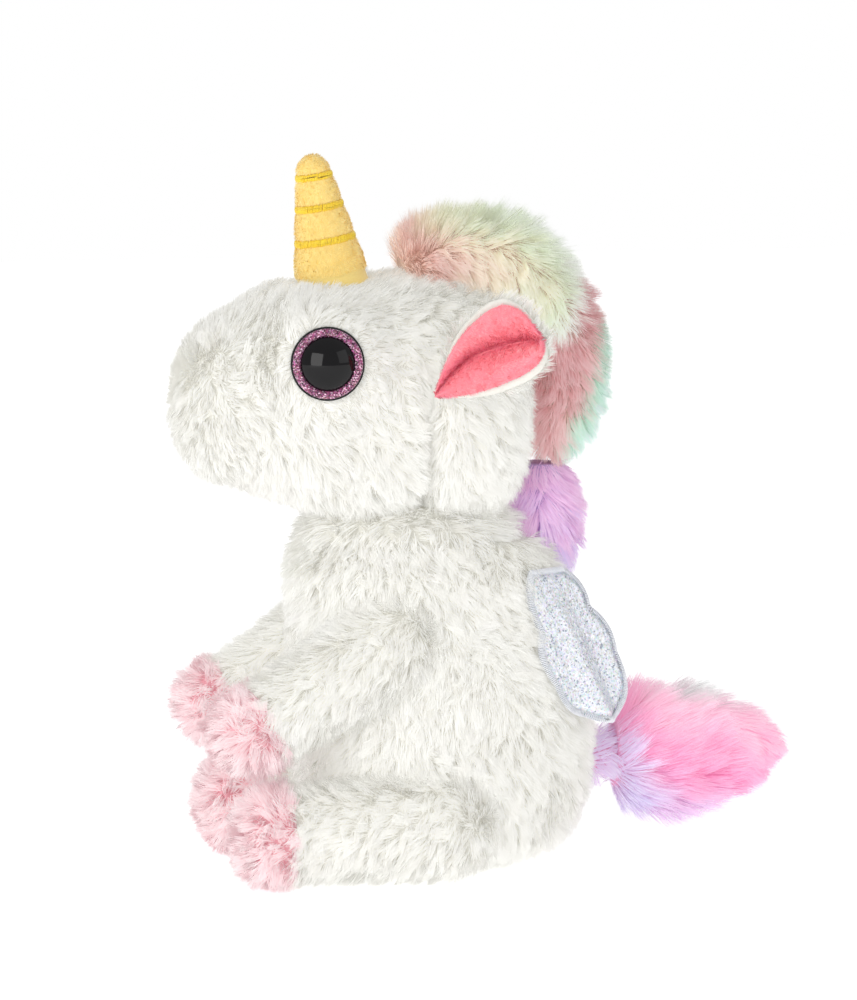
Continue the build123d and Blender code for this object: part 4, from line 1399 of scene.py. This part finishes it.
def rim_stitches():
    """Overcast stitches over the whole sewn rim, as paths on the left wing."""
    loop = np.concatenate([wing_cut, wing_cut[:1]])
    steps = np.linalg.norm(np.diff(loop, axis=0), axis=1)
    gone = np.concatenate([[0], np.cumsum(steps)])
    at = np.arange(0, gone[-1], RIM_SPACING)
    edge = np.stack([np.interp(at, gone, loop[:, k]) for k in (0, 1)], axis=1)
    onward = unit(np.roll(edge, -1, axis=0) - np.roll(edge, 1, axis=0))
    inward = np.stack([-onward[:, 1], onward[:, 0]], axis=1)
    probe = inside_distance(wing_cut, edge + 0.5 * inward)
    inward = np.where(probe[:, None] > 0, inward, -inward)
    turns = np.linspace(-0.35, math.pi + 0.35, 9)
    paths = []
    for angle in turns:
        depth = RIM_REACH * (1 - math.sin(angle)) - 0.1
        flat = edge + inward * depth + onward * 0.22 * math.cos(angle)
        base = on_wing(np.c_[flat, np.zeros(len(flat))])
        paths.append(base + RIM_HALF_HEIGHT * math.cos(angle) * wing_face)
    return np.stack(paths, axis=1)


wing_placed = on_wing(wing_points)
wing_threads = rim_stitches()
for side_name, side in SIDES:
    flip = np.array((side, 1, 1))
    name = f"wing_glitter_pad_{side_name}"
    pad = make_mesh(name, wing_placed * flip, wing_loops, wing_sizes, wing_glitter)
    threads = tubes(f"wing_rim_{side_name}", wing_threads * flip, RIM_THREAD, silver_thread, 5)
    if side < 0:
        pad.data.flip_normals()
        threads.data.flip_normals()
    placed(pad, f"wing_{side_name}",
           [f"wing_{layer}_{side_name}" for layer in ("backing", "wadding", "glitter")])
    placed(threads, f"wing_{side_name}")


# ---------------------------------------------------------------- pieces that CAD makes whole

hidden = [("bean_bag_pouch", lining_cloth), ("bean_bag_pellets", pellet_fill)]
for side_name, side in SIDES:
    hidden += [(f"eye_base_{side_name}", black_plastic), (f"eye_washer_{side_name}", washer_plastic)]
for node, finish in hidden:
    slots = frame["nodes"][node].data.materials
    slots.clear()
    slots.append(finish)


# ---------------------------------------------------------------- floor, light and camera

def area_light(name, place, aim, size, power, colour):
    """A soft square lamp at a place in metres, facing a point."""
    lamp = bpy.data.lights.new(name, "AREA")
    lamp.shape, lamp.size, lamp.energy, lamp.color = "SQUARE", size, power, colour
    obj = bpy.data.objects.new(name, lamp)
    bpy.context.scene.collection.objects.link(obj)
    obj.location = place
    obj.rotation_euler = (Vector(aim) - Vector(place)).to_track_quat("-Z", "Y").to_euler()


FLOOR_HALF = 3000.0
corners = np.array([(-1, -1, 0), (1, -1, 0), (1, 1, 0), (-1, 1, 0)]) * FLOOR_HALF
floor_finish = cloth_material(
    "studio_floor", "FEFEFE", "FCFCFC", 60.0, 5.0, 0.5, 0.0001, Roughness=0.95,
    Emission_Color=(1.0, 1.0, 1.0, 1.0), Emission_Strength=0.46,
)
floor = make_mesh("studio_floor", corners, np.arange(4), np.array([4]), floor_finish)

SKY_LIGHT = 0.58            # light from the white room; seen straight on, the room is pure white
world = bpy.data.worlds.new("studio")
world.use_nodes = True
sky = Graph(world.node_tree)
seen = sky.add("ShaderNodeLightPath").outputs["Is Camera Ray"]
strength = sky.maths("ADD", sky.maths("MULTIPLY", seen, 1.0 - SKY_LIGHT), SKY_LIGHT)
background = world.node_tree.nodes["Background"]
background.inputs["Color"].default_value = (1.0, 1.0, 1.0, 1.0)
world.node_tree.links.new(strength, background.inputs["Strength"])
bpy.context.scene.world = world
bpy.context.scene.view_settings.view_transform = "Standard"

VIEW_TURN, VIEW_RISE = math.radians(76), math.radians(7)
VIEW_DISTANCE, VIEW_HEIGHT, SENSOR = 1.6, 0.35, 36.0
target = Vector((-0.0161, -0.0008, 0.1258))
away = Vector((
    math.sin(VIEW_TURN) * math.cos(VIEW_RISE),
    -math.cos(VIEW_TURN) * math.cos(VIEW_RISE),
    math.sin(VIEW_RISE),
))
for lamp_name, place, size, power, colour in (
    ("key", (1.75, -1.75, 0.85), 1.7, 25.0, (1.0, 0.99, 0.975)),
    ("fill", (1.9, 1.9, 1.2), 1.8, 7.0, (0.97, 0.985, 1.0)),
    ("back", (-1.9, 0.8, 1.8), 1.6, 10.0, (1.0, 1.0, 1.0)),
):
    area_light(lamp_name, place, target, size, power, colour)

lens = bpy.data.cameras.new("camera")
lens.sensor_fit, lens.sensor_height = "VERTICAL", SENSOR
lens.lens = SENSOR * VIEW_DISTANCE / VIEW_HEIGHT
camera = bpy.data.objects.new("camera", lens)
bpy.context.scene.collection.objects.link(camera)
camera.location = target + VIEW_DISTANCE * away
camera.rotation_euler = (-away).to_track_quat("-Z", "Y").to_euler()
bpy.context.scene.camera = camera
